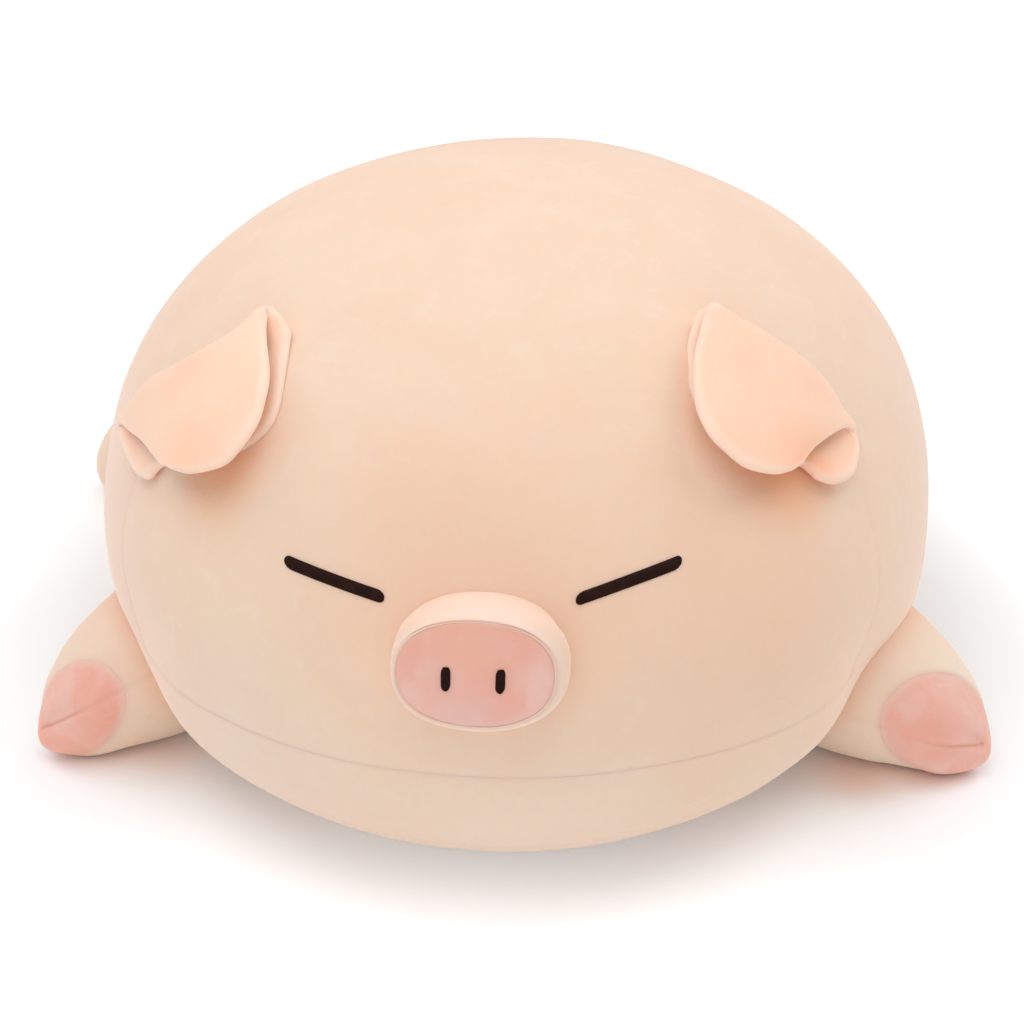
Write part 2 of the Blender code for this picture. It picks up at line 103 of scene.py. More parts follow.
body = {
    "halfWidth": 0.200,
    "front": 0.242,
    "rear": 0.220,
    "rise": 0.151,
    "drop": 0.098,
    "middle": 0.0975,  # height of the widest level
    "upperFullness": 2.21,
    "lowerFullness": 3.0,
    "faceCount": 84,  # faces along each side of the cube that is blown up
    "cloth": 0.0016,
    "lump": 0.0011,  # how far the filling swells and sinks under the cloth
    "lumpSize": 0.072,
    "fineLumpShare": 0.35,
    "fineLumps": 2.3,  # how many go into one lump
    "seamDip": (0.0006, 0.0011),  # depth and width
    "seamPull": (0.0004, 0.0075),
    "seamOverrun": 0.001,
    "seamCuts": (-0.0046, -0.0022, -0.0010, 0.0, 0.0010, 0.0022, 0.0046),
    "seamTint": 0.32,
    "seamTintWidth": 0.0014,
    "fillingFaceCount": 30,
    "fillingInset": 0.0048,
    "fillingLowest": 0.0034,
}
seams = {
    "belly": {"place": row(0, -0.242, 0.0895), "facing": unit(row(0, 0.15, 1)), "depthShare": 0.22},
    "back": {"place": row(0, 0.165, 0.0975), "facing": unit(row(0, 1, 0.10)), "depthShare": 0.9},
    "middle": {"place": row(0, 0, 0), "facing": pigLeft, "depthShare": 0.9},
    "dart": {"place": row(0, -0.122, 0.0975), "facing": unit(row(0, 1, -0.215)), "depthShare": 0.8},
}
dart = {"fromMiddle": 0.1, "fadeFrom": 0.148, "fadeTo": 0.176}
tucks = {  # over each front limb the sewn-on sleeve draws the body in: a long shallow hollow
    "run": unit(row(-0.07, 0.88, -0.47)),
    "spots": [
        {"place": row(0.176, -0.100, 0.058), "deep": 0.0086, "wide": 0.027, "long": 0.085},
        {"place": row(-0.172, -0.116, 0.066), "deep": 0.0048, "wide": 0.030, "long": 0.080},
    ],
}


def bodyParts(points):
    lengths = np.where(points[..., 1] < 0, body["front"], body["rear"])
    above = points[..., 2] > body["middle"]
    rises = np.where(above, body["rise"], body["drop"])
    fullness = np.where(above, body["upperFullness"], body["lowerFullness"])
    ring = np.hypot(points[..., 0] / body["halfWidth"], points[..., 1] / lengths)
    return lengths, rises, fullness, ring


def bodyShare(points):  # below 1 inside the body, above 1 outside it
    lengths, rises, fullness, ring = bodyParts(points)
    return ring ** fullness + (np.abs(points[..., 2] - body["middle"]) / rises) ** fullness


def bodyFacing(points):
    lengths, rises, fullness, ring = bodyParts(points)
    spread = np.maximum(ring, 1e-6) ** (fullness - 2)
    climb = (points[..., 2] - body["middle"]) / rises
    up = powered(climb, fullness - 1) / rises
    across = spread * points[..., 0] / body["halfWidth"] ** 2
    along = spread * points[..., 1] / lengths ** 2
    return unit(np.stack([across, along, up], -1))


def dropOnBody(points, inward, reach):
    near = np.zeros(points.shape[:-1])
    far = np.full(points.shape[:-1], float(reach))
    for _ in range(28):
        middle = (near + far) / 2
        outside = bodyShare(points + inward * middle[..., None]) > 1
        near = np.where(outside, middle, near)
        far = np.where(outside, far, middle)
    return points + inward * far[..., None]


def swell(points, amount=body["lump"], size=body["lumpSize"]):  # soft lumps of the filling
    fine = body["fineLumpShare"]
    often = body["fineLumps"]
    flat = points.reshape(-1, 3) / size
    lumps = np.array([noise.noise(Vector(p)) + fine * noise.noise(Vector(p * often)) for p in flat])
    return amount * lumps.reshape(points.shape[:-1])


def seamDistance(points, name):
    return (points - seams[name]["place"]) @ seams[name]["facing"]


def seamRun(points, name):  # 1 where a seam runs, fading to 0 where it ends
    x, y, z = points[..., 0], points[..., 1], points[..., 2]
    if name == "belly":
        return np.ones_like(x)
    aboveBelly = seamDistance(points, "belly") > -body["seamOverrun"]
    if name == "back":
        return aboveBelly * 1.0
    if name == "middle":
        return aboveBelly * (seamDistance(points, "back") > -body["seamOverrun"]) * 1.0
    beside = (y < 0) * (np.abs(x) > dart["fromMiddle"])
    return aboveBelly * beside * (1 - smoothStep(z, dart["fadeFrom"], dart["fadeTo"]))


def seamSink(points):
    sink = np.zeros(points.shape[:-1])
    for name, seam in seams.items():
        distance = seamDistance(points, name)
        dip = ridge(distance, *body["seamDip"]) + ridge(distance, *body["seamPull"])
        sink = sink + seam["depthShare"] * seamRun(points, name) * dip
    return sink


def seamTint(points):
    near = np.zeros(points.shape[:-1])
    for name in seams:
        near = near + seamRun(points, name) * hump(seamDistance(points, name), body["seamTintWidth"])
    return body["seamTint"] * near


def limbTuck(points):
    sink = np.zeros(points.shape[:-1])
    for tuck in tucks["spots"]:
        local = points - tuck["place"]
        along = local @ tucks["run"]
        away = np.linalg.norm(local - along[..., None] * tucks["run"], axis=-1)
        sink = sink + tuck["deep"] * hump(away, tuck["wide"]) * hump(along, tuck["long"])
    return sink


def depthInBody(points):  # how far under the cover a point lies
    local = points - row(0, 0, body["middle"])
    fullness = bodyParts(points)[2]
    share = np.maximum(bodyShare(points), 1e-6) ** (1 / fullness)
    return np.linalg.norm(local, axis=-1) * (1 / share - 1) - limbTuck(points)


def skinPoints(points):  # from the plain form to the cloth's outer side
    moved = points + bodyFacing(points) * (swell(points) - seamSink(points) - limbTuck(points))[..., None]
    moved[..., 2] = np.maximum(moved[..., 2], 0.0)
    return moved


# Finishes: shader maths is written as Python expressions on a wrapped socket

class Field:
    def __init__(self, shader, socket):
        self.shader = shader
        self.socket = socket

    def join(self, operation, first, second):
        made = self.shader.node("ShaderNodeMath", {0: first, 1: second}, operation=operation)
        return Field(self.shader, made.outputs[0])

    def __add__(self, other):
        return self.join("ADD", self, other)

    def __sub__(self, other):
        return self.join("SUBTRACT", self, other)

    def __rsub__(self, other):
        return self.join("SUBTRACT", other, self)

    def __mul__(self, other):
        return self.join("MULTIPLY", self, other)

    def larger(self, other):
        return self.join("MAXIMUM", self, other)

    def between(self, low, high):  # 0 at low, 1 at high, smooth between them
        inputs = {"Value": self, "From Min": low, "From Max": high, "To Min": 0.0, "To Max": 1.0}
        made = self.shader.node("ShaderNodeMapRange", inputs, interpolation_type="SMOOTHSTEP", clamp=True)
        return Field(self.shader, made.outputs[0])


class Shader:
    def __init__(self, owner):  # a material or a world
        owner.use_nodes = True
        self.tree = owner.node_tree

    def fill(self, socket, value):
        if isinstance(value, Field):
            value = value.socket
        if isinstance(value, bpy.types.NodeSocket):
            self.tree.links.new(value, socket)
        elif socket.type == "RGBA":
            socket.default_value = (*value, 1)
        else:
            socket.default_value = value

    def node(self, kind, inputs, **settings):
        made = self.tree.nodes.new(kind)
        for name, value in settings.items():
            setattr(made, name, value)
        for name, value in inputs.items():
            self.fill(made.inputs[name], value)
        return made

    def show(self, made):  # this node is what the material or the world is seen as
        output = next(node for node in self.tree.nodes if node.type.startswith("OUTPUT"))
        self.fill(output.inputs["Surface"], made.outputs[0])

    def rays(self, kind):  # 1 for rays of this kind
        path = self.node("ShaderNodeLightPath", {})
        return Field(self, path.outputs[f"Is {kind} Ray"])


class Finish(Shader):
    def __init__(self, name):
        self.material = bpy.data.materials.new(name)
        super().__init__(self.material)
        self.principled = self.tree.nodes["Principled BSDF"]
        self.coordinates = self.node("ShaderNodeTexCoord", {}).outputs["Object"]

    def noise(self, scale, detail, roughness=0.5, distortion=0.0):
        sizes = {"Scale": scale, "Detail": detail, "Roughness": roughness, "Distortion": distortion}
        made = self.node("ShaderNodeTexNoise", {"Vector": self.coordinates, **sizes})
        return Field(self, made.outputs["Fac"])

    def mix(self, share, first, second):
        inputs = {0: share, 6: first, 7: second}
        return self.node("ShaderNodeMix", inputs, data_type="RGBA", clamp_factor=True).outputs[2]

    def distance(self, place):
        away = self.node("ShaderNodeVectorMath", {0: self.coordinates, 1: place}, operation="DISTANCE")
        return Field(self, away.outputs["Value"])

    def nearness(self, place, reach):  # 1 at a place, 0 beyond its reach
        return 1 - self.distance(place).between(0.0, reach)

    def attribute(self, name):
        made = self.node("ShaderNodeAttribute", {}, attribute_name=name)
        return Field(self, made.outputs["Fac"])

    def bumps(self, heights, sizes):  # each lies on the one before and has a strength and a height
        inputs = {}
        for height, (strength, distance) in zip(heights, sizes):
            inputs |= {"Height": height, "Strength": strength, "Distance": distance}
            inputs["Normal"] = self.node("ShaderNodeBump", inputs).outputs["Normal"]
        return inputs["Normal"]

    def set(self, values):
        for name, value in values.items():
            self.fill(self.principled.inputs[name], value)


# Painted fill light: paler, cooler peach on the lower front and the sides
paintedFillLightPeach = (0.940, 0.680, 0.570)
# Blush and painted shade: warmer, deeper peach between the eyes, on one cheek, round the limb roots and on
# the ears' middles
blushAndPaintedShadePeach = (0.955, 0.560, 0.400)
# Painted light: paler peach on the limbs, where floor bounce lights them
paintedLimbLight = (0.995, 0.775, 0.600)
# Painted shade: deep orange under each ear
paintedUnderEarShade = (0.995, 0.425, 0.215)
markColours = {
    "seamNear": (0.958, 0.605, 0.480),  # both piles mixed along a seam
    "paintedRimSheen": (0.955, 0.750, 0.640),  # painted sheen: the pile's tips catching the light along a turned edge
    # painted shade, warm and dark, in creases, gaps and low down by the floor
    "paintedCreaseShade": (0.900, 0.420, 0.270),
}
velvetLook = {
    "sockets": {
        "Sheen Weight": 0.42,
        "Sheen Roughness": 0.34,
        "Subsurface Weight": 0.30,
        "Subsurface Scale": 0.016,
        "Subsurface Radius": (1.0, 0.38, 0.20),
        "Specular IOR Level": 0.15,
    },
    "roughness": 0.88,
    "strokes": (75.0, 3.0, 0.6, 0.9),  # a noise: scale, detail, roughness, distortion
    "grain": (420.0, 3.0, 0.65),
    "fibres": (1500.0, 2.0, 0.6),
    "patches": (3.0, 0.55, 0.4),  # the same, but for the scale, which each velvet has of its own
    "patchTone": (0.30, 0.72),  # from this noise value to that one the tone changes
    "strokeTone": (0.48, 0.80),
    "grainTone": (0.35, 0.75),
    "grainShare": 0.16,
    "roughPatches": (0.3, 0.7),  # and from this one to that one the roughness does
    "smoothStrokes": (0.4, 0.8),
    "patchRoughness": 0.08,
    "strokeRoughness": 0.05,
    "bumps": ((0.22, 0.0009), (0.34, 0.00045), (0.30, 0.00018)),
}
peachPile = {
    "colour": (0.955, 0.672, 0.508),
    "deep": (0.950, 0.630, 0.465),
    "pale": (0.965, 0.720, 0.580),
    "palest": 0.45,  # share of the pale colour on the strokes
    "sheenTint": (1.0, 0.87, 0.79),
    "patchScale": 16.0,
    # Soft spots: a few are the cloth's own blush, the rest are painted light and shade, paler where fill
    # light falls and warmer in the shade under the ears, round the limbs and on the face
    "blushAndPaintedLight": [  # place, reach, share and colour of each soft spot
        ((0.0, -0.160, 0.020), 0.190, 0.45, paintedFillLightPeach),
        ((-0.190, -0.080, 0.110), 0.120, 0.60, paintedFillLightPeach),
        ((0.200, 0.000, 0.110), 0.110, 0.50, paintedFillLightPeach),
        ((0.0, -0.225, 0.190), 0.130, 0.72, blushAndPaintedShadePeach),
        ((0.120, -0.180, 0.150), 0.110, 0.72, blushAndPaintedShadePeach),
        ((-0.120, -0.205, 0.060), 0.085, 0.55, (0.935, 0.705, 0.610)),
        ((0.100, -0.113, 0.216), 0.036, 0.55, (0.955, 0.590, 0.440)),
        ((0.195, -0.085, 0.060), 0.060, 0.45, blushAndPaintedShadePeach),
        ((-0.195, -0.090, 0.050), 0.045, 0.30, blushAndPaintedShadePeach),
        ((0.135, -0.105, 0.215), 0.024, 0.45, blushAndPaintedShadePeach),
        ((-0.140, -0.110, 0.210), 0.024, 0.45, blushAndPaintedShadePeach),
        ((0.003, -0.250, 0.166), 0.046, 0.85, (0.965, 0.735, 0.610)),
        ((0.222, -0.085, 0.052), 0.080, 0.90, paintedLimbLight),
        ((-0.215, -0.110, 0.048), 0.070, 0.40, paintedLimbLight),
        ((0.128, -0.135, 0.185), 0.036, 0.80, paintedUnderEarShade),
        ((-0.118, -0.150, 0.180), 0.035, 0.50, paintedUnderEarShade),
    ],
}
pinkPile = {
    "colour": (0.975, 0.545, 0.460),
    "deep": (0.970, 0.425, 0.335),
    "pale": (0.960, 0.640, 0.570),
    "palest": 0.40,
    "sheenTint": (1.0, 0.82, 0.78),
    "patchScale": 30.0,
    "blushAndPaintedLight": [
        # A deeper coral spot on the upper half of the pink face, and painted sheen, paler and cooler, on its
        # lower half
        ((0.0, -0.262, 0.166), 0.030, 0.75, (0.990, 0.455, 0.345)),
        ((0.0, -0.262, 0.128), 0.030, 0.60, (0.880, 0.510, 0.470)),
    ],
}
satinLook = {
    "sockets": {
        "Sheen Weight": 0.01,
        "Sheen Roughness": 0.35,
        "Sheen Tint": (0.60, 0.36, 0.28),
        "Specular IOR Level": 0.09,
    },
    "roughness": 0.52,
    "twistRoughness": 0.22,
    "twist": (2600.0, 2.0, 0.6),
    "wear": (160.0, 2.0, 0.5),
    "wornTone": (0.4, 0.8),
    "wornShare": 0.4,
    "bumps": ((0.4, 0.0001),),
}
fibreLook = {
    "sockets": {"Roughness": 0.95, "Sheen Weight": 0.2, "Specular IOR Level": 0.1},
    "tufts": (60.0, 4.0, 0.6, 1.5),
    "hairs": (600.0, 4.0, 0.7, 2.0),
    "shaded": (0.80, 0.79, 0.77),
    "lit": (0.90, 0.89, 0.87),
    "tuftTone": (0.3, 0.7),
    "bumps": ((0.5, 0.002), (0.5, 0.0006)),
}


def velvet(name, pile):
    # Short brushed pile: it lies this way and that in soft patches, each a little paler or deeper
    finish = Finish(name)
    look = velvetLook | pile
    patches = finish.noise(look["patchScale"], *look["patches"])
    strokes = finish.noise(*look["strokes"])
    grain = finish.noise(*look["grain"])
    fibres = finish.noise(*look["fibres"])
    tone = finish.mix(patches.between(*look["patchTone"]), look["deep"], look["colour"])
    tone = finish.mix(strokes.between(*look["strokeTone"]) * look["palest"], tone, look["pale"])
    tone = finish.mix(grain.between(*look["grainTone"]) * look["grainShare"], tone, look["deep"])
    for place, reach, share, colour in look["blushAndPaintedLight"]:
        tone = finish.mix(finish.nearness(place, reach) * share, tone, colour)
    for marking, colour in markColours.items():
        tone = finish.mix(finish.attribute(marking), tone, colour)
    rough = patches.between(*look["roughPatches"]) * look["patchRoughness"] + look["roughness"]
    finish.set({
        "Base Color": tone,
        "Roughness": rough - strokes.between(*look["smoothStrokes"]) * look["strokeRoughness"],
        "Normal": finish.bumps((strokes, grain, fibres), look["bumps"]),
        "Sheen Tint": look["sheenTint"],
        **look["sockets"],
    })
    return finish.material


def satinThread(name, colour, worn):
    finish = Finish(name)
    look = satinLook
    twist = finish.noise(*look["twist"])
    wear = finish.noise(*look["wear"])
    finish.set({
        "Base Color": finish.mix(wear.between(*look["wornTone"]) * look["wornShare"], colour, worn),
        "Roughness": twist * look["twistRoughness"] + look["roughness"],
        "Normal": finish.bumps((twist,), look["bumps"]),
        **look["sockets"],
    })
    return finish.material


def looseFibre(name):
    finish = Finish(name)
    look = fibreLook
    tufts = finish.noise(*look["tufts"])
    hairs = finish.noise(*look["hairs"])
    finish.set({
        "Base Color": finish.mix(tufts.between(*look["tuftTone"]), look["shaded"], look["lit"]),
        "Normal": finish.bumps((tufts, hairs), look["bumps"]),
        **look["sockets"],
    })
    return finish.material


peachVelvet = velvet("peachVelvet", peachPile)
pinkVelvet = velvet("pinkVelvet", pinkPile)
eyeThread = satinThread("eyeThread", (0.016, 0.0052, 0.0030), (0.045, 0.017, 0.010))
peachThread = satinThread("peachThread", (0.86, 0.58, 0.43), (0.92, 0.68, 0.53))
fibreFilling = looseFibre("fibreFilling")
print("finishes ready")


# Small tools that turn points into finished pieces

mergeWithin = 0.00002  # points closer than this count as one
rimAngle = math.radians(60)  # edges sharper than this stay sharp, so that no shade gathers along a rim


def linked(name, data):
    made = bpy.data.objects.new(name, data)
    bpy.context.scene.collection.objects.link(made)
    return made


def makePiece(name, points, faces, material):
    data = bpy.data.meshes.new(name)
    data.from_pydata([tuple(p) for p in np.asarray(points).reshape(-1, 3)], [], faces)
    data.materials.append(material)
    data.validate()
    data.shade_smooth()
    return linked(name, data)


def mark(piece, name, share):  # how much of a second colour each point takes
    layer = piece.data.attributes.new(name, "FLOAT", "POINT")
    layer.data.foreach_set("value", np.clip(share.reshape(-1), 0, 1).astype(np.float32))


def markNear(piece, marks, distance):
    for name, (share, width) in marks.items():
        mark(piece, name, ridge(distance, share, width))


def settle(piece):  # its modifiers become plain mesh
    bpy.context.view_layer.update()
    graph = bpy.context.evaluated_depsgraph_get()
    data = bpy.data.meshes.new_from_object(piece.evaluated_get(graph))
    piece.modifiers.clear()
    old = piece.data
    piece.data = data
    data.name = piece.name
    bpy.data.meshes.remove(old)


def thicken(piece, thickness):  # a wall inwards from the outer side
    wall = piece.modifiers.new("cloth", "SOLIDIFY")
    wall.thickness = thickness
    wall.offset = -1
    settle(piece)
    piece.data.set_sharp_from_angle(angle=rimAngle)


def facingOut(piece):
    form = bmesh.new()
    form.from_mesh(piece.data)
    bmesh.ops.recalc_face_normals(form, faces=form.faces[:])
    form.to_mesh(piece.data)
    form.free()


def turnFaces(piece, outwardAt):  # outwardAt gives the way out at a face's centre
    total = sum(p.area * np.dot(p.normal, outwardAt(np.array(p.center))) for p in piece.data.polygons)
    if total < 0:
        piece.data.flip_normals()


def setInFrame(piece, bodyName, nodes, slot):
    if bodyName:
        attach(piece, bodyName)
    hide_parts(*nodes)


def ringFaces(ringCount, around, closeFirst, closeLast):
    faces = []
    for ring in range(ringCount - 1):
        for step in range(around):
            a = ring * around + step
            b = ring * around + (step + 1) % around
            faces.append((a, b, b + around, a + around))
    if closeFirst:
        faces.append(tuple(reversed(range(around))))
    if closeLast:
        last = (ringCount - 1) * around
        faces.append(tuple(last + step for step in range(around)))
    return faces


def ringPiece(name, points, around, closeFirst, closeLast, material):
    faces = ringFaces(len(points) // around, around, closeFirst, closeLast)
    return makePiece(name, points, faces, material)


def sortedFaces(form, sideOf):  # each side's faces as point numbers; sideOf names the side of a face's middle
    sides = {}
    for face in form.faces:
        numbers = [v.index for v in face.verts]
        side = sideOf(np.array(face.calc_center_median()), numbers)
        if side:
            sides.setdefault(side, []).append(numbers)
    return sides


def onlyUsed(faces):  # the points that some faces use, and those faces with the points numbered anew
    used = sorted({index for face in faces for index in face})
    place = {index: order for order, index in enumerate(used)}
    return used, [[place[index] for index in face] for face in faces]


def cutAt(form, geometry, place, facing):
    place, facing = Vector(place), Vector(facing)
    bmesh.ops.bisect_plane(form, geom=geometry, dist=mergeWithin, plane_co=place, plane_no=facing)


def threadTree():
    # Geometry Nodes: every line of the mesh becomes a round thread
    tree = bpy.data.node_groups.new("threadsFromLines", "GeometryNodeTree")
    inputs = {
        "Geometry": "NodeSocketGeometry",
        "threadRadius": "NodeSocketFloat",
        "threadSides": "NodeSocketInt",
        "threadFinish": "NodeSocketMaterial",
    }
    for name, kind in inputs.items():
        tree.interface.new_socket(name, in_out="INPUT", socket_type=kind)
    tree.interface.new_socket("Geometry", in_out="OUTPUT", socket_type="NodeSocketGeometry")
    add = tree.nodes.new
    start = add("NodeGroupInput")
    end = add("NodeGroupOutput")
    lines = add("GeometryNodeMeshToCurve")
    circle = add("GeometryNodeCurvePrimitiveCircle")
    tube = add("GeometryNodeCurveToMesh")
    tube.inputs["Fill Caps"].default_value = True
    smooth = add("GeometryNodeSetShadeSmooth")
    real = add("GeometryNodeRealizeInstances")
    paint = add("GeometryNodeSetMaterial")
    for source, output, target, socket in (
        (start, "Geometry", lines, "Mesh"),
        (start, "threadRadius", circle, "Radius"),
        (start, "threadSides", circle, "Resolution"),
        (lines, "Curve", tube, "Curve"),
        (circle, "Curve", tube, "Profile Curve"),
        (tube, "Mesh", smooth, "Geometry"),
        (smooth, "Geometry", real, "Geometry"),
        (real, "Geometry", paint, "Geometry"),
        (start, "threadFinish", paint, "Material"),
        (paint, "Geometry", end, "Geometry"),
    ):
        tree.links.new(source.outputs[output], target.inputs[socket])
    return tree


threads = threadTree()


def threadPiece(name, lines, radius, sides, material):
    edges = []
    first = 0
    for line in lines:
        edges += [(first + step, first + step + 1) for step in range(len(line) - 1)]
        first += len(line)
    data = bpy.data.meshes.new(name)
    data.from_pydata([tuple(p) for p in np.concatenate(lines)], edges, [])
    piece = linked(name, data)
    spun = piece.modifiers.new("threads", "NODES")
    spun.node_group = threads
    sockets = {item.name: item.identifier for item in threads.interface.items_tree if item.in_out == "INPUT"}
    spun[sockets["threadRadius"]] = radius
    spun[sockets["threadSides"]] = sides
    spun[sockets["threadFinish"]] = material
    settle(piece)
    piece.data.materials.clear()
    piece.data.materials.append(material)
    return piece


def joined(name, pieces):
    # Several meshes of one finish as one piece
    form = bmesh.new()
    for piece in pieces:
        form.from_mesh(piece.data)
    material = pieces[0].data.materials[0]
    data = bpy.data.meshes.new(name)
    form.to_mesh(data)
    form.free()
    for piece in pieces:
        bpy.data.objects.remove(piece)
    data.materials.clear()
    data.materials.append(material)
    for polygon in data.polygons:
        polygon.material_index = 0
    data.shade_smooth()
    return linked(name, data)


# Body: a ball of even faces blown up to the body's form, cut along its seams into four panels

panelNodes = {
    "facePanel": "face_panel",
    "backPanelLeft": "back_panel_left",
    "backPanelRight": "back_panel_right",
    "bellyPanel": "belly_panel",
}
cutReach = {  # which points each seam's cuts may touch
    "belly": lambda p: True,
    "back": lambda p: p.z > 0.02,
    "middle": lambda p: p.y > 0.06 and p.z > 0.02,
    "dart": lambda p: p.y < -0.06 and abs(p.x) > 0.085 and 0.05 < p.z < 0.2,
}


def blownUp(count, inset=0.0):
    form = bmesh.new()
    bmesh.ops.create_cube(form, size=2)
    bmesh.ops.subdivide_edges(form, edges=form.edges[:], cuts=count - 1, use_grid_fill=True)
    for vert in form.verts:
        across, along, up = (math.tan(c * math.pi / 4) for c in vert.co)
        size = math.sqrt(across ** 2 + along ** 2 + up ** 2)
        across, along, up = across / size, along / size, up / size
        fullness = body["upperFullness"] if up > 0 else body["lowerFullness"]
        ring = math.hypot(across, along)
        reach = (ring ** fullness + abs(up) ** fullness) ** (-1 / fullness)
        length = (body["front"] if along < 0 else body["rear"]) - inset
        rise = (body["rise"] if up > 0 else body["drop"]) - inset
        vert.co = Vector((
            (body["halfWidth"] - inset) * across * reach,
            length * along * reach,
            body["middle"] + rise * up * reach,
        ))
    return form


def cutAlong(form, name):
    place, facing = seams[name]["place"], seams[name]["facing"]
    for offset in body["seamCuts"]:
        verts = [v for v in form.verts if cutReach[name](v.co)]
        inside = set(verts)
        edges = [e for e in form.edges if e.verts[0] in inside and e.verts[1] in inside]
        faces = [f for f in form.faces if all(v in inside for v in f.verts)]
        cutAt(form, verts + edges + faces, place + facing * offset, facing)


def panelOf(middle, numbers):
    if seamDistance(middle, "belly") < 0:
        return "bellyPanel"
    if seamDistance(middle, "back") < 0:
        return "facePanel"
    return "backPanelLeft" if middle[0] > 0 else "backPanelRight"


def makeBody():
    form = blownUp(body["faceCount"])
    for name in seams:
        cutAlong(form, name)
    form.verts.index_update()
    plain = np.array([v.co for v in form.verts])
    skin = skinPoints(plain)
    sides = sortedFaces(form, panelOf)
    form.free()
    for name, node in panelNodes.items():
        used, faces = onlyUsed(sides[name])
        panel = makePiece(name, skin[used], faces, peachVelvet)
        mark(panel, "seamNear", seamTint(plain[used]))
        thicken(panel, body["cloth"])
        setInFrame(panel, "body", [node], "peach_velvet")
    filling = blownUp(body["fillingFaceCount"], body["fillingInset"])
    data = bpy.data.meshes.new("bodyFilling")
    filling.to_mesh(data)
    filling.free()
    plain = np.array([v.co for v in data.vertices])
    moved = plain - bodyFacing(plain) * limbTuck(plain)[:, None]
    for vert, place in zip(data.vertices, moved):
        vert.co = (place[0], place[1], max(place[2], body["fillingLowest"]))
    data.materials.append(fibreFilling)
    data.shade_smooth()
    setInFrame(linked("bodyFilling", data), "body", ["body_stuffing"], "fibre_filling")


makeBody()
print("body made")


# Snout: a short barrel, its pink face set in a seam, its filling

snout = {
    "root": row(0.0022, -0.2335, 0.1495),
    "tilt": math.radians(10),
    "length": 0.028,
    "halfWidth": 0.0332,  # of its pink face
    "halfHeight": 0.0233,
    "dome": 0.0030,
    "domePower": 2.2,
    "lean": 0.0003,  # how far its face lies to the pig's left of its root
    "sway": (0.0017, -0.0013),  # how far its soft middle hangs to the pig's left and up
    "swayPower": 0.8,
    "around": 160,
    "squareness": 2.24,
    "slump": 0.0016,  # how much lower its upper side is at the root
    "slumpRun": (-0.004, 0.017),
    "shoulders": 0.45,  # how much squarer the barrel's upper side is half way along
    "growth": (0.30, 0.95),  # share of the barrel's bulge that its upper and lower side take
    "seekFrom": 0.014,  # from this height a point is dropped on the body, no further than seekReach
    "seekReach": 0.08,
    "sewnIn": 0.0022,
    # how far the barrel's side stands out past its face, from its root to its front edge
    "sides": [
        (0.0, -0.0002), (0.15, 0.0016), (0.35, 0.0032), (0.55, 0.0041),
        (0.72, 0.0042), (0.86, 0.0035), (0.94, 0.0026), (1.0, 0.0011),
    ],
    "sideRings": 40,
    "frontInset": 0.0004,
    "rim": 0.0010,  # the pale edge round the face rolls over into the seam
    "rimOffset": 0.0004,
    "rimRise": 0.0003,
    "rimRings": 9,
    "hem": (-0.0005, -0.0006),
    "wallLumps": (0.0005, 0.03),
    "wallMarks": {"paintedRimSheen": (0.45, 0.0040), "paintedCreaseShade": (0.26, 0.0012)},  # share and width
    "wallCloth": 0.0014,
}
snoutFace = {
    "edgeShares": [1.0, 0.997, 0.99, 0.975, 0.955, 0.93],
    "innerShares": np.linspace(0.9, 0.04, 26),
    "edgeDrop": 0.0005,
    "edgeRise": 0.0007,
    "edgeRun": (0.93, 0.07),
    "nostrilDent": 0.0011,
    "nostrilDentSize": (0.0042, 0.0075),
    "creases": [(1.02, 0.90, 0.00032), (0.80, 0.80, 0.00026)],  # angle, reach and depth
    "creaseBow": (0.05, 2.2),
    "creaseWidth": 0.016,
    "creaseSpan": 0.42,
    "lumps": (0.00035, 0.022),
    "marks": {"seamNear": (0.55, 0.0007), "paintedCreaseShade": (0.35, 0.0010)},
    "cloth": 0.0012,
}
snoutFilling = {
    "around": 48,
    "seekGrow": 0.0005,
    "gap": 0.0002,
    "grow": -0.0026,
    "end": 0.0222,
    "shares": (0.0, 0.25, 0.5, 0.75, 0.95),
    "tip": (-0.006, 0.0246),
}
nostril = {
    "spacing": 0.0228,
    "shift": -0.0005,
    "drop": 0.0014,
    "width": 0.0038,
    "height": 0.0111,
    "rise": 0.0010,
    "endRound": 0.0031,
    "seat": (0.0003, -0.0009),
    "leanIn": {"left": 0.02, "right": 0.0},
}
snoutForward = row(0, -math.cos(snout["tilt"]), math.sin(snout["tilt"]))
snoutUp = row(0, math.sin(snout["tilt"]), math.cos(snout["tilt"]))


def fromSnout(across, up, height):
    return (
        snout["root"]
        + pigLeft * across[..., None]
        + snoutUp * up[..., None]
        + snoutForward * height[..., None]
    )


def snoutRing(angles, grow, height):
    height = np.full(len(angles), height)
    top = np.sin(angles) > 0
    lean = snout["lean"] * height / snout["length"]
    belly = np.sin(math.pi * np.clip(height / snout["length"], 0, 1)) ** snout["swayPower"]
    power = 2 / (snout["squareness"] + snout["shoulders"] * belly * top)
    tall = snout["halfHeight"] + grow * np.where(top, *snout["growth"])
    tall = tall - top * snout["slump"] * (1 - smoothStep(height, *snout["slumpRun"]))
    across = powered(np.cos(angles), power) * (snout["halfWidth"] + grow)
    up = powered(np.sin(angles), power) * tall
    return fromSnout(across + lean + snout["sway"][0] * belly, up + snout["sway"][1] * belly, height)


def snoutDepth(angles, grow):  # how far along the snout the body's cover lies
    front = snoutRing(angles, grow, snout["seekFrom"])
    seat = dropOnBody(front, -snoutForward, snout["seekReach"])
    return (seat - snout["root"]) @ snoutForward


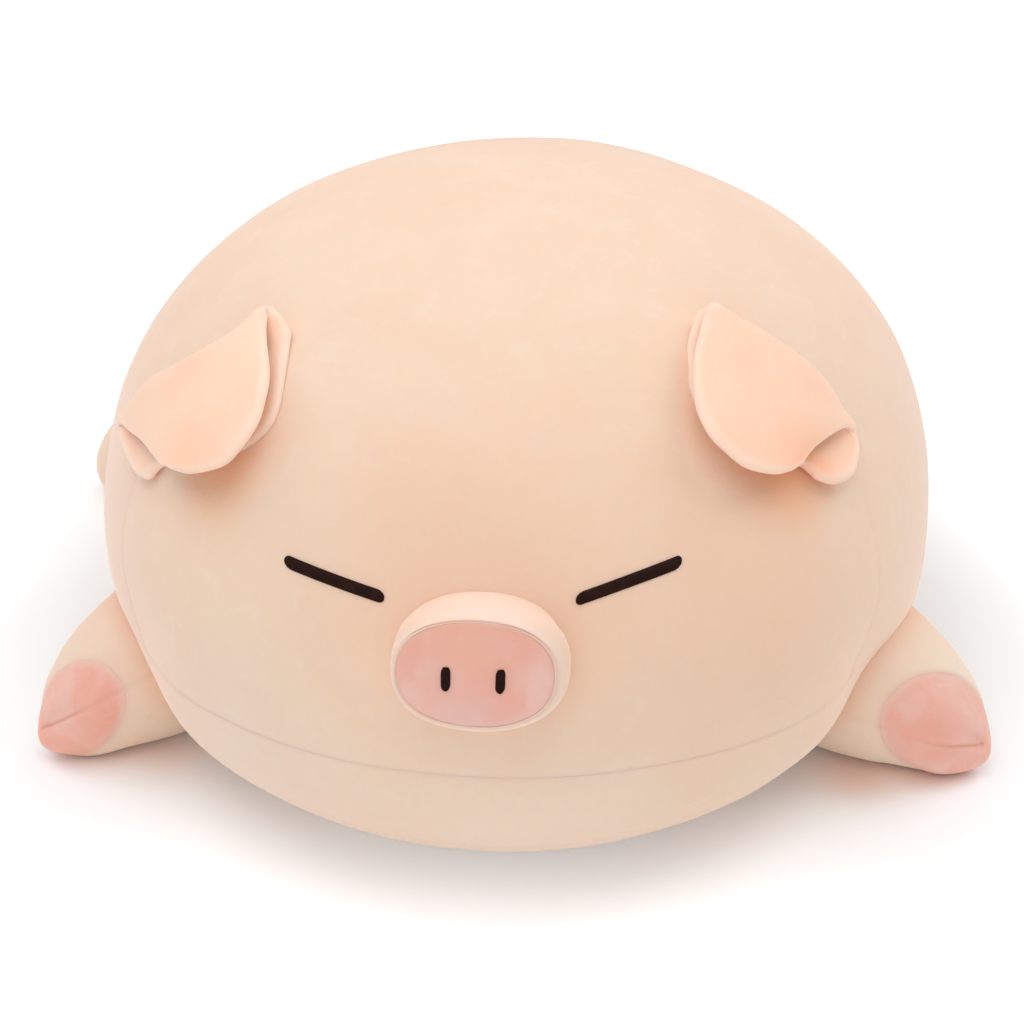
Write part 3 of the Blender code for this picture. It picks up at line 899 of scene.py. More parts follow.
def makeSnoutWall():
    angles = circleAngles(snout["around"])
    depth = snoutDepth(angles, 0.0) - snout["sewnIn"]
    last = snout["length"] - snout["frontInset"]
    rings = []
    for share, grow in catmull(snout["sides"], snout["sideRings"]):
        rings.append(snoutRing(angles, grow, depth + (last - depth) * share))
    for turn in np.linspace(0, math.pi, snout["rimRings"])[1:]:
        grow = snout["rim"] / 2 * math.cos(turn) + snout["rimOffset"]
        rings.append(snoutRing(angles, grow, last + snout["rimRise"] * math.sin(turn)))
    inward, down = snout["hem"]
    rings.append(snoutRing(angles, inward, last + down))
    points = np.concatenate(rings)
    points = points + unit(points - snout["root"]) * swell(points, *snout["wallLumps"])[..., None]
    wall = ringPiece("snoutWall", points, len(angles), False, False, peachVelvet)
    turnFaces(wall, lambda centre: centre - snout["root"])
    markNear(wall, snout["wallMarks"], (points - snout["root"]) @ snoutForward - last)
    thicken(wall, snout["wallCloth"])
    setInFrame(wall, "body", ["snout_wall"], "peach_velvet")


def faceDent(share, angles, across, up):
    dent = np.zeros(len(angles))
    wide, tall = snoutFace["nostrilDentSize"]
    for side in (-1, 1):
        away = np.hypot((across - side * nostril["spacing"] / 2) / wide, (up + nostril["drop"]) / tall)
        dent = dent + snoutFace["nostrilDent"] * hump(away, 1)
    bow, often = snoutFace["creaseBow"]
    for angle, reach, deep in snoutFace["creases"]:
        line = share - reach - bow * np.cos((angles - angle) * often)
        span = hump(angles - angle, snoutFace["creaseSpan"])
        dent = dent + deep * hump(line, snoutFace["creaseWidth"]) * span
    return dent


def makeSnoutFace():
    angles = circleAngles(snout["around"])
    shares = np.concatenate([snoutFace["edgeShares"], snoutFace["innerShares"]])
    start, run = snoutFace["edgeRun"]
    rings = []
    for share in shares:
        power = 2 / (2 + (snout["squareness"] - 2) * share)
        across = powered(np.cos(angles), power) * snout["halfWidth"] * share
        up = powered(np.sin(angles), power) * snout["halfHeight"] * share
        edge = np.clip((share - start) / run, 0, 1)
        height = snout["length"] - snoutFace["edgeDrop"] + snoutFace["edgeRise"] * math.sqrt(1 - edge ** 2)
        height = height + snout["dome"] * (1 - share ** snout["domePower"])
        centre = snout["root"] + snoutForward * height + pigLeft * snout["lean"] * height / snout["length"]
        dent = faceDent(share, angles, across, up)
        ring = centre + pigLeft * across[:, None] + snoutUp * up[:, None] - snoutForward * dent[:, None]
        rings.append(ring)
    points = np.concatenate(rings)
    points = points + snoutForward * swell(points, *snoutFace["lumps"])[..., None]
    disc = ringPiece("snoutFace", points, len(angles), False, True, pinkVelvet)
    turnFaces(disc, lambda centre: snoutForward)
    markNear(disc, snoutFace["marks"], np.repeat(1 - shares, len(angles)) * snout["halfHeight"])
    thicken(disc, snoutFace["cloth"])
    setInFrame(disc, "body", ["snout_face"], "pink_velvet")


def makeSnoutFilling():
    angles = circleAngles(snoutFilling["around"])
    depth = snoutDepth(angles, snoutFilling["seekGrow"]) + snoutFilling["gap"]
    rings = []
    for share in snoutFilling["shares"]:
        rings.append(snoutRing(angles, snoutFilling["grow"], depth + (snoutFilling["end"] - depth) * share))
    rings.append(snoutRing(angles, *snoutFilling["tip"]))
    filling = ringPiece("snoutFilling", np.concatenate(rings), len(angles), True, True, fibreFilling)
    facingOut(filling)
    setInFrame(filling, "body", ["snout_stuffing"], "fibre_filling")


# Embroidery: satin stitch, one thread beside the next across a padded bar

stitch = {
    "pitch": 0.00034,
    "radius": 0.00021,
    "sides": 6,
    "points": 9,
    "slant": 0.00035,
    "wobble": (0.00005, 2.4),  # how far and how often from stitch to stitch
    "spread": (0.03, 1.7),
    "edge": 0.98,
    "sink": 0.0001,
    "leastEnd": 0.01,
}
padding = {
    "rows": 9,
    "steps": 60,
    "edge": 0.98,
    "short": 0.0003,
    "sink": 0.00022,
    "leastEnd": 0.05,
    "thickness": 0.0004,
}
eyes = {
    "left": {"inner": (0.0424, 0.1656), "outer": (0.0845, 0.1719), "arch": 0.0006},
    "right": {"inner": (0.0407, 0.1637), "outer": (0.0847, 0.1665), "arch": 0.0005},
    "width": 0.0044,
    "rise": 0.0012,
    "overrun": 0.002,
    "endRound": 0.0034,
    "seekFrom": -0.30,
    "seekReach": 0.2,
}


def stitchLines(placeAt, length, width, rise, endRound):
    share = np.linspace(-1, 1, stitch["points"])
    over = np.sqrt(np.maximum(0, 1 - (share * stitch["edge"]) ** 2))
    lines = []
    for index in range(int(length / stitch["pitch"])):
        along = (index + 0.5) * stitch["pitch"] - length / 2
        fromEnd = length / 2 - abs(along)
        half = width / 2
        if fromEnd < endRound:
            half *= math.sqrt(max(stitch["leastEnd"], 1 - ((endRound - fromEnd) / endRound) ** 2))
        narrow = half / (width / 2)
        slant = stitch["slant"] * share * narrow ** 2
        wobble = stitch["wobble"][0] * math.sin(index * stitch["wobble"][1])
        spread = 1 + stitch["spread"][0] * math.sin(index * stitch["spread"][1])
        height = rise * narrow ** 0.5 * over - stitch["sink"]
        lines.append(placeAt(along + slant + wobble, share * half * spread, height))
    return lines


def padGrid(placeAt, length, width, rise, endRound):
    steps = padding["steps"]
    alongs = np.linspace(-length / 2 + padding["short"], length / 2 - padding["short"], steps)
    fromEnd = length / 2 - np.abs(alongs)
    end = np.maximum(0, endRound - fromEnd) / endRound
    narrow = np.sqrt(np.clip(1 - end ** 2, padding["leastEnd"], 1))
    rows = []
    for share in np.linspace(-padding["edge"], padding["edge"], padding["rows"]):
        height = rise * narrow ** 0.5 * math.sqrt(max(0, 1 - share ** 2)) - padding["sink"]
        rows.append(placeAt(alongs, share * width / 2 * narrow, height))
    faces = []
    for first in range(0, (padding["rows"] - 1) * steps, steps):
        faces += [(a, a + 1, a + steps + 1, a + steps) for a in range(first, first + steps - 1)]
    return np.concatenate(rows), faces


def satinBar(name, node, *form):
    # form is placeAt, length, width, rise, endRound; placeAt(along, across, height) is over the cloth
    lines = stitchLines(*form)
    stitches = threadPiece(name + "Stitches", lines, stitch["radius"], stitch["sides"], eyeThread)
    points, faces = padGrid(*form)
    pad = makePiece(name + "Pad", points, faces, eyeThread)
    placeAt, centre = form[0], row(0.0)
    facing = unit(placeAt(centre, centre, row(0.01)) - placeAt(centre, centre, centre))[0]
    turnFaces(pad, lambda place: facing)
    thicken(pad, padding["thickness"])
    setInFrame(joined(name, [stitches, pad]), "body", [node], "embroidery_thread")


def onFace(x, z):  # where the body's front lies at these places
    return dropOnBody(np.stack([x, np.full_like(x, eyes["seekFrom"]), z], -1), rearward, eyes["seekReach"])


def makeEye(side, sign):
    spec = eyes[side]
    offset = row(sign * spec["inner"][0], sign * spec["outer"][0])
    height = row(spec["inner"][1], spec["outer"][1])
    ends = onFace(offset, height)
    length = np.linalg.norm(ends[1] - ends[0])

    def placeAt(along, across, rise):
        share = along / length + 0.5
        x = offset[0] + (offset[1] - offset[0]) * share
        arch = spec["arch"] * np.sin(math.pi * np.clip(share, 0, 1))
        z = height[0] + (height[1] - height[0]) * share + arch
        seat = onFace(x + 0 * across, z + across)
        return seat + bodyFacing(seat) * (swell(seat) + rise)[..., None]

    size = length + eyes["overrun"], eyes["width"], eyes["rise"], eyes["endRound"]
    satinBar("eye" + side.capitalize(), "eye_" + side, placeAt, *size)


def makeNostril(side, sign):
    def placeAt(along, across, rise):
        across = across + 0 * along
        x = nostril["shift"] + sign * nostril["spacing"] / 2 + across + nostril["leanIn"][side] * along
        up = along - nostril["drop"] + 0 * across
        share = np.hypot(x / snout["halfWidth"], up / snout["halfHeight"])
        over, under = nostril["seat"]
        height = snout["length"] + over + snout["dome"] * (1 - share ** snout["domePower"]) + under + rise
        return fromSnout(x + snout["lean"] * height / snout["length"], up, height)

    size = nostril["height"], nostril["width"], nostril["rise"], nostril["endRound"]
    satinBar("nostril" + side.capitalize(), "nostril_" + side, placeAt, *size)


makeSnoutWall()
makeSnoutFace()
makeSnoutFilling()
for make in (makeEye, makeNostril):
    make("left", 1)
    make("right", -1)
print("snout, eyes and nostrils made")


# Ears: one soft leaf each, folded over along its length
# Every point is how far it lies along the fold, down from it and above the head, in millimetres

ears = {
    "thickness": 0.0052,
    "edgeRound": 0.0052,
    "columns": 84,
    "rows": 96,
    "foldShifts": [row(0.4, 9.5, 3.1), row(0, -0.6, 8.6), row(0, 5.2, 14.2)],  # lines 2 to 4 from the ridge
    "flapBulge": 1.3,
    "mouthEase": 6,
    "unit": 0.001,
    "seekFrom": 0.03,
    "seekReach": 0.12,
    "smoothings": 2,
    "lumps": (0.0004, 0.02),
    "lumpsFrom": 0.001,
    "rimSheenMark": (0.50, 0.0012, 0.0075),
    "bendLean": 0.13,
    "bend": (0.0045, 0.0105),  # two heights along the ear's lift, meant for where the ear goes over to its flap; worked out, then left unused
    "left": {
        "place": row(0.0875, -0.0745, 0.2300),
        "along": row(0.749, -0.340, -0.568),
        "down": row(-0.426, -0.905, -0.019),
        "out": row(0.507, -0.256, 0.823),
        "flapRim": [
            (0.2, 7.6, 10), (2.7, 11.5, 9.5), (9.1, 29.4, 10), (15.3, 43.1, 11), (23.2, 55.4, 12),
            (31.3, 64.6, 13), (42.4, 71.8, 15), (52.8, 72.8, 16), (63.4, 71.2, 17), (73.5, 62.4, 17.5),
            (77.8, 52.2, 16), (79.3, 43.7, 15),
        ],
        "hood": [(-0.8, 3.6, 8.6), (-0.6, 4.0, 11.4), (0.6, 5.4, 13.2)],
        "backRim": [
            (-0.6, 3.2, 6), (0.2, 9.0, 3.2), (5.4, 22.2, 1.5), (13.9, 35.2, 1.3), (21.1, 45.1, 1.3),
            (32, 52, 1.3), (46, 54, 1.3), (60, 48, 1.6), (72, 37, 2.6), (79, 31.6, 3.6),
            (83, 30.8, 4.5), (88.6, 30, 5),
        ],
        "ridge": [(14.1, 1.5), (27.4, -1.3), (40, -2.9), (52.6, -5.9), (64.2, -5.3), (73.9, -2.3)],
        "mouth": [  # where lines 1 to 6 end
            (95.6, 23.5, 7), (98.8, 11, 9.5), (92.5, -0.5, 11.5),
            (84.5, -1.0, 13.3), (79.4, 9.5, 12.6), (77.2, 24, 12.8),
        ],
    },
    "right": {
        "place": row(-0.1010, -0.0786, 0.2240),
        "along": row(-0.712, -0.216, -0.668),
        "down": row(0.343, -0.937, -0.063),
        "out": row(-0.613, -0.275, 0.741),
        "flapRim": [
            (1.4, 9.3, 11), (3.1, 13, 11), (6, 27.2, 12), (10.6, 48.2, 13), (16.1, 60.8, 14),
            (25.7, 73.7, 15), (39, 81.2, 17), (48.4, 81.5, 17.5), (62.6, 70.8, 17), (70.4, 58.5, 16),
            (75, 47.8, 15),
        ],
        "hood": [(-2.7, 8.2, 11.2), (-2.2, 6.9, 13.2), (-0.6, 7.2, 14.2)],
        "backRim": [
            (-2.4, 9.4, 9.4), (-2.9, 13.2, 7.0), (-1.6, 18.4, 3.0), (2.6, 27.0, 1.6), (10.9, 44.5, 1.3),
            (19.4, 58.8, 1.3), (29.8, 65.3, 1.3), (45, 63, 1.3), (60, 54, 1.6), (72, 41, 2.6),
            (80, 32.6, 3.6), (90, 30.5, 4.5),
        ],
        "ridge": [(10.2, 7.1), (18.5, 9.2), (30.6, 7.9), (47.8, 2.4), (63.4, -4.9), (77.5, -7.0)],
        "mouth": [
            (95, 21, 5.5), (96, 9, 8), (93.5, -4.5, 11.5),
            (89.5, -6, 13.3), (84, 8, 12), (79, 24, 13),
        ],
    },
}


def earLines(spec):
    # Eight lines along the ear, from the back half's rim over the fold to the front half's rim
    count = ears["columns"]
    mouth = {index + 1: row(*point) for index, point in enumerate(spec["mouth"])}
    lines = {0: catmull(spec["backRim"], count), 7: catmull(spec["flapRim"], count)}
    for index, shift, start in zip((2, 3, 4), ears["foldShifts"], spec["hood"]):
        fold = [row(*point, 0) + shift for point in spec["ridge"]]
        lines[index] = catmull([row(*start), *fold, mouth[index]], count)
    lines[1] = (lines[0] + lines[2]) / 2
    share = np.linspace(0, 1, count)
    for index, part in ((5, 1 / 3), (6, 2 / 3)):
        lines[index] = lines[4] * (1 - part) + lines[7] * part
        lines[index][:, 2] += ears["flapBulge"] * np.sin(math.pi * share)
    ease = share[:, None] ** ears["mouthEase"]
    for index in (1, 5, 6):
        line = lines[index]
        lines[index] = line * (1 - ease) + (mouth[index] + (line - line[-1])) * ease
    return np.stack([lines[index] for index in range(8)], 1)  # columns, 8, 3


def earMiddle(spec):
    sheet = np.stack([catmull(line, ears["rows"]) for line in earLines(spec)], 0) * ears["unit"]
    above = spec["place"] + sheet[..., 0:1] * spec["along"] + sheet[..., 1:2] * spec["down"]
    seat = dropOnBody(above + spec["out"] * ears["seekFrom"], -spec["out"], ears["seekReach"])
    middle = seat + spec["out"] * sheet[..., 2:3]
    for _ in range(ears["smoothings"]):  # takes small kinks out, the rims held
        around = (middle[:-2, 1:-1] + middle[2:, 1:-1] + middle[1:-1, :-2] + middle[1:-1, 2:]) / 4
        middle[1:-1, 1:-1] = middle[1:-1, 1:-1] * 0.5 + around * 0.5
    return middle


def earFaces():
    # The upper layer's faces and the same of the under layer, which shares the rim's points
    columns, rows = ears["columns"], ears["rows"]
    total = columns * rows
    under = np.arange(total).reshape(columns, rows)
    under[1:-1, 1:-1] += total
    under = under.reshape(-1).tolist()
    faces = []
    for c in range(columns - 1):
        for r in range(rows - 1):
            corners = (c * rows + r, (c + 1) * rows + r, (c + 1) * rows + r + 1, c * rows + r + 1)
            faces.append(corners)
            faces.append(tuple(under[i] for i in reversed(corners)))
    return faces


def runFromRims(middle, axis):
    steps = np.diff(middle, axis=axis, prepend=middle.take([0], axis))
    run = np.cumsum(np.linalg.norm(steps, axis=2), axis=axis)
    return np.minimum(run, run.take([-1], axis) - run)


def makeEar(side):
    spec = ears[side]
    middle = earMiddle(spec)
    facing = unit(np.cross(np.gradient(middle, axis=0), np.gradient(middle, axis=1)))
    if np.mean(facing[:, ears["rows"] * 3 // 4] @ spec["out"]) < 0:
        facing = -facing
    fromEdge = np.minimum(runFromRims(middle, 1), runFromRims(middle, 0))
    inward = np.clip(1 - fromEdge / ears["edgeRound"], 0, 1)
    thick = ears["thickness"] / 2 * np.sqrt(np.maximum(0, 1 - inward ** 2))
    thick = thick + (fromEdge > ears["lumpsFrom"]) * swell(middle, *ears["lumps"])
    half = facing * thick[..., None]
    points = np.concatenate([(middle + half).reshape(-1, 3), (middle - half).reshape(-1, 3)])
    ear = makePiece("ear" + side.capitalize(), points, earFaces(), peachVelvet)
    share, near, far = ears["rimSheenMark"]
    # painted sheen, paler, along the ear's rims
    mark(ear, "paintedRimSheen", np.tile(share * (1 - smoothStep(fromEdge, near, far)).reshape(-1), 2))
    form = bmesh.new()
    form.from_mesh(ear.data)
    bmesh.ops.delete(form, geom=[v for v in form.verts if not v.link_faces], context="VERTS")
    bmesh.ops.remove_doubles(form, verts=form.verts[:], dist=mergeWithin)
    bmesh.ops.recalc_face_normals(form, faces=form.faces[:])
    form.to_mesh(ear.data)
    form.free()
    ear.data.shade_smooth()
    nodes = [f"ear_{side}_{part}_{layer}" for part in ("back", "flap") for layer in ("outer", "lining")]
    setInFrame(ear, None, nodes, "peach_velvet")
    lift = unit(spec["out"] + ears["bendLean"] * spec["down"])
    start, end = (spec["place"] + lift * height for height in ears["bend"])
    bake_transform(ear)
    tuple(start)
    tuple(end)


for side in ("left", "right"):
    makeEar(side)
print("ears made")


# Limbs: blunt cones lying on the floor, each with a pink cap sewn across its end

limbs = {
    "length": 0.068,  # from the root's middle to where the nose begins
    "tipHeight": 0.0249,
    "droop": 0.0072,  # how far the nose's end hangs below the limb's own line
    "droopRun": (0.052, 0.108),
    "droopGain": 1.25,
    # radius along the limb, from inside the body to the nose's end
    "profile": [
        (-0.020, 0.0440), (-0.006, 0.0425), (0.008, 0.0410), (0.0206, 0.0394), (0.034, 0.0371),
        (0.0477, 0.03375), (0.059, 0.0298), (0.0715, 0.0248), (0.0786, 0.0211), (0.0843, 0.0168),
        (0.0892, 0.0118), (0.0928, 0.0070), (0.0948, 0.0034), (0.0956, 0.0002),
    ],
    "leastRadius": 0.0002,
    "fullerFade": 0.75,
    "fullerRun": (0.0, 0.055),
    "fullerEnd": (0.075, 0.09),
    "insetRun": (0, 0.09),
    "clearance": 0.0008,
    "lowest": 0.0006,
    "cover": {"inset": 0.0, "around": 192, "rings": 110},
    "filling": {"inset": 0.0042, "around": 32, "rings": 24},
    "lumps": (0.0007, 0.03),
    "cloth": 0.0014,
    "hemDepth": 0.045,
    "cuts": (-0.004, -0.0020, -0.0009, 0.0, 0.0009, 0.0020, 0.004),
    "capMark": (0.9, 0.0014),
    "bend": (0.015, 0.048),  # two reaches along its heading, meant for where the body goes over to the limb; worked out, then left unused
}
limbSeams = {
    "dip": (0.00012, 0.0009),  # depth and width
    "pull": (0.0008, 0.005),
    "line": 0.0005,
    "lineWidth": 0.0009,
    "linePull": (0.5, 0.004),
    "leastRadius": 0.004,
    "cleftRun": (0.070, 0.083),
    "cleft": (0.0006, 0.0009),
    "wideCleftRun": (0.072, 0.086),
    "wideCleft": (0.0013, 0.0042),
    "pucker": 0.00011,
    "puckerCount": 44,
    "puckerPlace": (0.0035, 0.0030),
    "dimples": [(0.083, 0.34, 0.0012), (0.086, -0.36, 0.0010)],  # along, angle and depth
    "dimpleSize": (0.0045, 0.24),
    "warmLineWidth": 0.0008,
    "warmLine": (0.14, 0.42),
    "rootShade": (0.34, 0.0075),
    "shadeBeneath": 0.42,
    "beneath": (0.001, 0.006),
}
limbSpecs = {
    "frontLeft": {
        "root": row(0.1500, -0.0538, 0.0429), "reach": 24.7, "side": 1, "fuller": 0.0030,
        "capTurn": 36, "capRise": 3, "capAt": 0.0754, "seamAngle": 85, "node": "front_left",
    },
    "frontRight": {
        "root": row(-0.1484, -0.0603, 0.0429), "reach": 37.6, "side": -1, "fuller": 0.0008,
        "capTurn": 29.5, "capRise": 11.5, "capAt": 0.0808, "seamAngle": -59, "node": "front_right",
    },
    "hindLeft": {
        "root": row(0.1100, 0.1265, 0.0429), "reach": -55, "side": 1, "fuller": 0.0,
        "capTurn": 0, "capRise": 6, "capAt": 0.0760, "seamAngle": -60, "node": "hind_left",
    },
    "hindRight": {
        "root": row(-0.1600, 0.1160, 0.0429), "reach": -25, "side": -1, "fuller": 0.0,
        "capTurn": -45, "capRise": 6, "capAt": 0.0840, "seamAngle": 60, "node": "hind_right",
    },
}


def withAxes(spec):
    reach = math.radians(spec["reach"])
    heading = row(spec["side"] * math.cos(reach), -math.sin(reach), 0)
    fall = spec["root"][2] - limbs["tipHeight"]
    run = math.sqrt(limbs["length"] ** 2 - fall ** 2)
    tip = spec["root"] + heading * run - row(0, 0, fall)
    axis = unit(tip - spec["root"])
    upward = unit(upright - axis[2] * axis)
    turn = -spec["side"] * math.radians(spec["capTurn"])
    turnedX = heading[0] * math.cos(turn) - heading[1] * math.sin(turn)
    turnedY = heading[0] * math.sin(turn) + heading[1] * math.cos(turn)
    rise = math.sin(math.radians(spec["capRise"]))
    return {
        **spec,
        "heading": heading,
        "axis": axis,
        "upward": upward,
        "sideways": np.cross(axis, upward),
        "capPoint": spec["root"] + axis * spec["capAt"],
        "capFacing": unit(row(turnedX, turnedY, 0) + row(0, 0, rise)),
    }


def limbForm(name, spec, material, inset, around, rings):
    angles = circleAngles(around)
    circle = spec["upward"] * np.cos(angles)[:, None] + spec["sideways"] * np.sin(angles)[:, None]
    lines = []
    for height, radius in catmull(limbs["profile"], rings):
        droop = limbs["droop"] * smoothStep(height, *limbs["droopRun"]) * limbs["droopGain"]
        along = height - inset * smoothStep(height, *limbs["insetRun"])
        middle = spec["root"] + spec["axis"] * along - spec["upward"] * droop
        fuller = spec["fuller"] * (1 - limbs["fullerFade"] * smoothStep(height, *limbs["fullerRun"]))
        radius = radius + fuller * (1 - smoothStep(height, *limbs["fullerEnd"]))
        lines.append(middle + circle * max(radius - inset, limbs["leastRadius"]))
    points = np.concatenate(lines)
    points[:, 2] = np.maximum(points[:, 2], limbs["clearance"] + inset)
    return ringPiece(name, points, around, True, True, material)


def fromCap(points, spec):  # how far beyond the cap's seam
    return (points - spec["capPoint"]) @ spec["capFacing"]


def limbSpots(points, spec):
    # How far each point lies along the limb, round it, and from its lengthwise seam as angle and length
    local = points - spec["root"]
    along = local @ spec["axis"]
    angle = np.arctan2(local @ spec["sideways"], local @ spec["upward"])
    away = (angle - math.radians(spec["seamAngle"]) + math.pi) % (2 * math.pi) - math.pi
    radius = np.linalg.norm(local - along[:, None] * spec["axis"], axis=1)
    return along, angle, away, away * np.maximum(radius, limbSeams["leastRadius"])


def limbSink(points, spec):
    across = fromCap(points, spec)
    along, angle, away, fromLine = limbSpots(points, spec)
    narrow = hump(fromLine, limbSeams["lineWidth"])
    sink = ridge(across, *limbSeams["dip"]) + ridge(across, *limbSeams["pull"])
    sink = sink + limbSeams["line"] * (narrow + ridge(fromLine, *limbSeams["linePull"]))
    cleft = 0
    for name in ("cleft", "wideCleft"):
        cleft = cleft + ridge(fromLine, *limbSeams[name]) * smoothStep(along, *limbSeams[name + "Run"])
    dimples = 0
    long, wide = limbSeams["dimpleSize"]
    for height, turn, deep in limbSeams["dimples"]:
        dimples = dimples + deep * np.exp(-((along - height) / long) ** 2 - ((away - turn) / wide) ** 2)
    place, width = limbSeams["puckerPlace"]
    folds = limbSeams["pucker"] * (1 + np.cos(angle * limbSeams["puckerCount"]))
    return sink + cleft + dimples + folds * hump(across - place, width)


def creaseShadeShare(points, depths, spec):
    # Warm lines: darker along the seam, and painted shade where the limb meets the body and low down by the
    # floor
    along, angle, away, fromLine = limbSpots(points, spec)
    least, more = limbSeams["warmLine"]
    share = least + more * smoothStep(along, *limbSeams["cleftRun"])
    beneath = 1 - smoothStep(points[:, 2], *limbSeams["beneath"])
    line = hump(fromLine, limbSeams["warmLineWidth"]) * share
    return line + ridge(depths, *limbSeams["rootShade"]) + limbSeams["shadeBeneath"] * beneath


def blendAtRoot(piece, spec):
    start, end = (spec["root"] + spec["heading"] * reach for reach in limbs["bend"])
    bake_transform(piece)
    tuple(start)
    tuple(end)


def makeLimb(name):
    spec = withAxes(limbSpecs[name])
    limbBody = spec["node"] + "_limb"
    rough = limbForm(name + "Rough", spec, peachVelvet, **limbs["cover"])
    form = bmesh.new()
    form.from_mesh(rough.data)
    bpy.data.objects.remove(rough)
    bmesh.ops.recalc_face_normals(form, faces=form.faces[:])
    for offset in limbs["cuts"]:
        geometry = form.verts[:] + form.edges[:] + form.faces[:]
        cutAt(form, geometry, spec["capPoint"] + spec["capFacing"] * offset, spec["capFacing"])
    form.verts.index_update()
    form.normal_update()
    plain = np.array([v.co for v in form.verts])
    facing = np.array([v.normal for v in form.verts])
    skin = plain + facing * (swell(plain, *limbs["lumps"]) - limbSink(plain, spec))[:, None]
    skin[:, 2] = np.maximum(skin[:, 2], limbs["lowest"])
    depths = depthInBody(skin)

    def sideOf(middle, numbers):
        if fromCap(middle, spec) > 0:
            return "HoofCap"
        if np.all(depths[numbers] > limbs["hemDepth"]):
            return None  # its hem stays open, so deep that no swing brings it out
        return "Sleeve"

    sides = sortedFaces(form, sideOf)
    form.free()
    for side, suffix, material, slot in (
        ("Sleeve", "_sleeve", peachVelvet, "peach_velvet"),
        ("HoofCap", "_hoof_cap", pinkVelvet, "pink_velvet"),
    ):
        used, faces = onlyUsed(sides[side])
        piece = makePiece(name + side, skin[used], faces, material)
        mark(piece, "paintedCreaseShade", creaseShadeShare(plain[used], depths[used], spec))
        mark(piece, "seamNear", ridge(fromCap(plain[used], spec), *limbs["capMark"]))
        thicken(piece, limbs["cloth"])
        setInFrame(piece, limbBody if side == "HoofCap" else None, [spec["node"] + suffix], slot)
        if side == "Sleeve":
            blendAtRoot(piece, spec)
    inside = limbForm(name + "Filling", spec, fibreFilling, **limbs["filling"])
    facingOut(inside)
    setInFrame(inside, None, [spec["node"] + "_stuffing"], "fibre_filling")
    blendAtRoot(inside, spec)


for limbName in limbSpecs:
    makeLimb(limbName)
print("limbs made")


# Tail: a soft curl out of the back seam

tail = {
    "rootHeight": 0.120,
    "sewnIn": 0.0010,
    "thickness": 0.0130,
    "curl": 0.013,
    "curlFade": 0.25,
    "lead": 0.016,
    "pitch": 0.020,
    "turns": 1.55 * math.pi,
    "sideFrom": row(0.2, 0, 1),
    "rings": 96,
    "around": 40,
    "taper": 0.55,
    "taperRun": (0.45, 1.0),
    "neck": (0.62, 0.38),
    "neckRun": (0.0, 0.14),
    "tipFrom": 0.965,
    "tipRun": 0.035,
    "leastTip": 0.003,
    "seamDip": (0.0006, 0.09),
    "seamAngle": 0.6,
    "seamNeeds": 0.004,  # a thinner ring has a shallower seam
    "seekFrom": 0.32,
    "seekReach": 0.3,
}


def tailLine():
    above = row(0, tail["seekFrom"], tail["rootHeight"])[None]
    root = dropOnBody(above, -rearward, tail["seekReach"])[0] - rearward * tail["sewnIn"]
    line = [root + rearward * (tail["lead"] * step / 3) for step in range(4)]
    last = line[-1]
    for share in np.linspace(0, 1, 12)[1:]:
        angle = tail["turns"] * share
        spread = tail["curl"] * (1 - tail["curlFade"] * share)
        over = last + pigLeft * spread * math.sin(angle) + upright * spread * (1 - math.cos(angle))
        line.append(over + rearward * tail["pitch"] * share)
    return catmull(line, tail["rings"])


def makeTail():
    path = tailLine()
    forward = unit(np.gradient(path, axis=0))
    side = unit(np.cross(forward, tail["sideFrom"]))
    over = np.cross(side, forward)
    shares = np.linspace(0, 1, tail["rings"])
    radius = tail["thickness"] / 2 * (1 - tail["taper"] * smoothStep(shares, *tail["taperRun"]))
    least, more = tail["neck"]
    radius = radius * (least + more * smoothStep(shares, *tail["neckRun"]))
    end = np.maximum(0, shares - tail["tipFrom"]) / tail["tipRun"]
    radius = radius * np.sqrt(np.clip(1 - end ** 2, tail["leastTip"], 1))
    angles = circleAngles(tail["around"])
    seamDip = ridge(np.sin((angles - tail["seamAngle"]) / 2), *tail["seamDip"])
    rings = []
    for index in range(tail["rings"]):
        size = radius[index] - seamDip * min(1, radius[index] / tail["seamNeeds"])
        ring = side[index] * (np.cos(angles) * size)[:, None] + over[index] * (np.sin(angles) * size)[:, None]
        rings.append(path[index] + ring)
    piece = ringPiece("tailCurl", np.concatenate(rings), len(angles), True, True, peachVelvet)
    facingOut(piece)
    setInFrame(piece, "tail", ["tail"], "peach_velvet")


# Closing thread: laced from side to side over the back seam, where the filling went in

lacing = {
    "count": 9,
    "pitch": 0.006,
    "length": 0.0062,
    "radius": 0.00042,
    "sides": 8,
    "first": 0.045,
    "points": 180,
    "over": 0.0006,
    "seekFrom": 0.30,
    "seekReach": 0.3,
}


def makeLacing():
    half = lacing["length"] / 2
    line = []
    for index in range(2 * lacing["count"] + 1):
        height = lacing["first"] + index * lacing["pitch"] / 2
        line.append(row((0, half, 0, -half)[index % 4], lacing["seekFrom"], height))
    seat = dropOnBody(catmull(line, lacing["points"]), -rearward, lacing["seekReach"])
    laced = skinPoints(seat) + bodyFacing(seat) * lacing["over"]
    thread = threadPiece("closingThread", [laced], lacing["radius"], lacing["sides"], peachThread)
    setInFrame(thread, "body", ["closing_thread"], "peach_velvet")


makeTail()
makeLacing()
print("tail and lacing made")


# Studio: pale floor, soft lamps, white background, camera at the photograph's angle

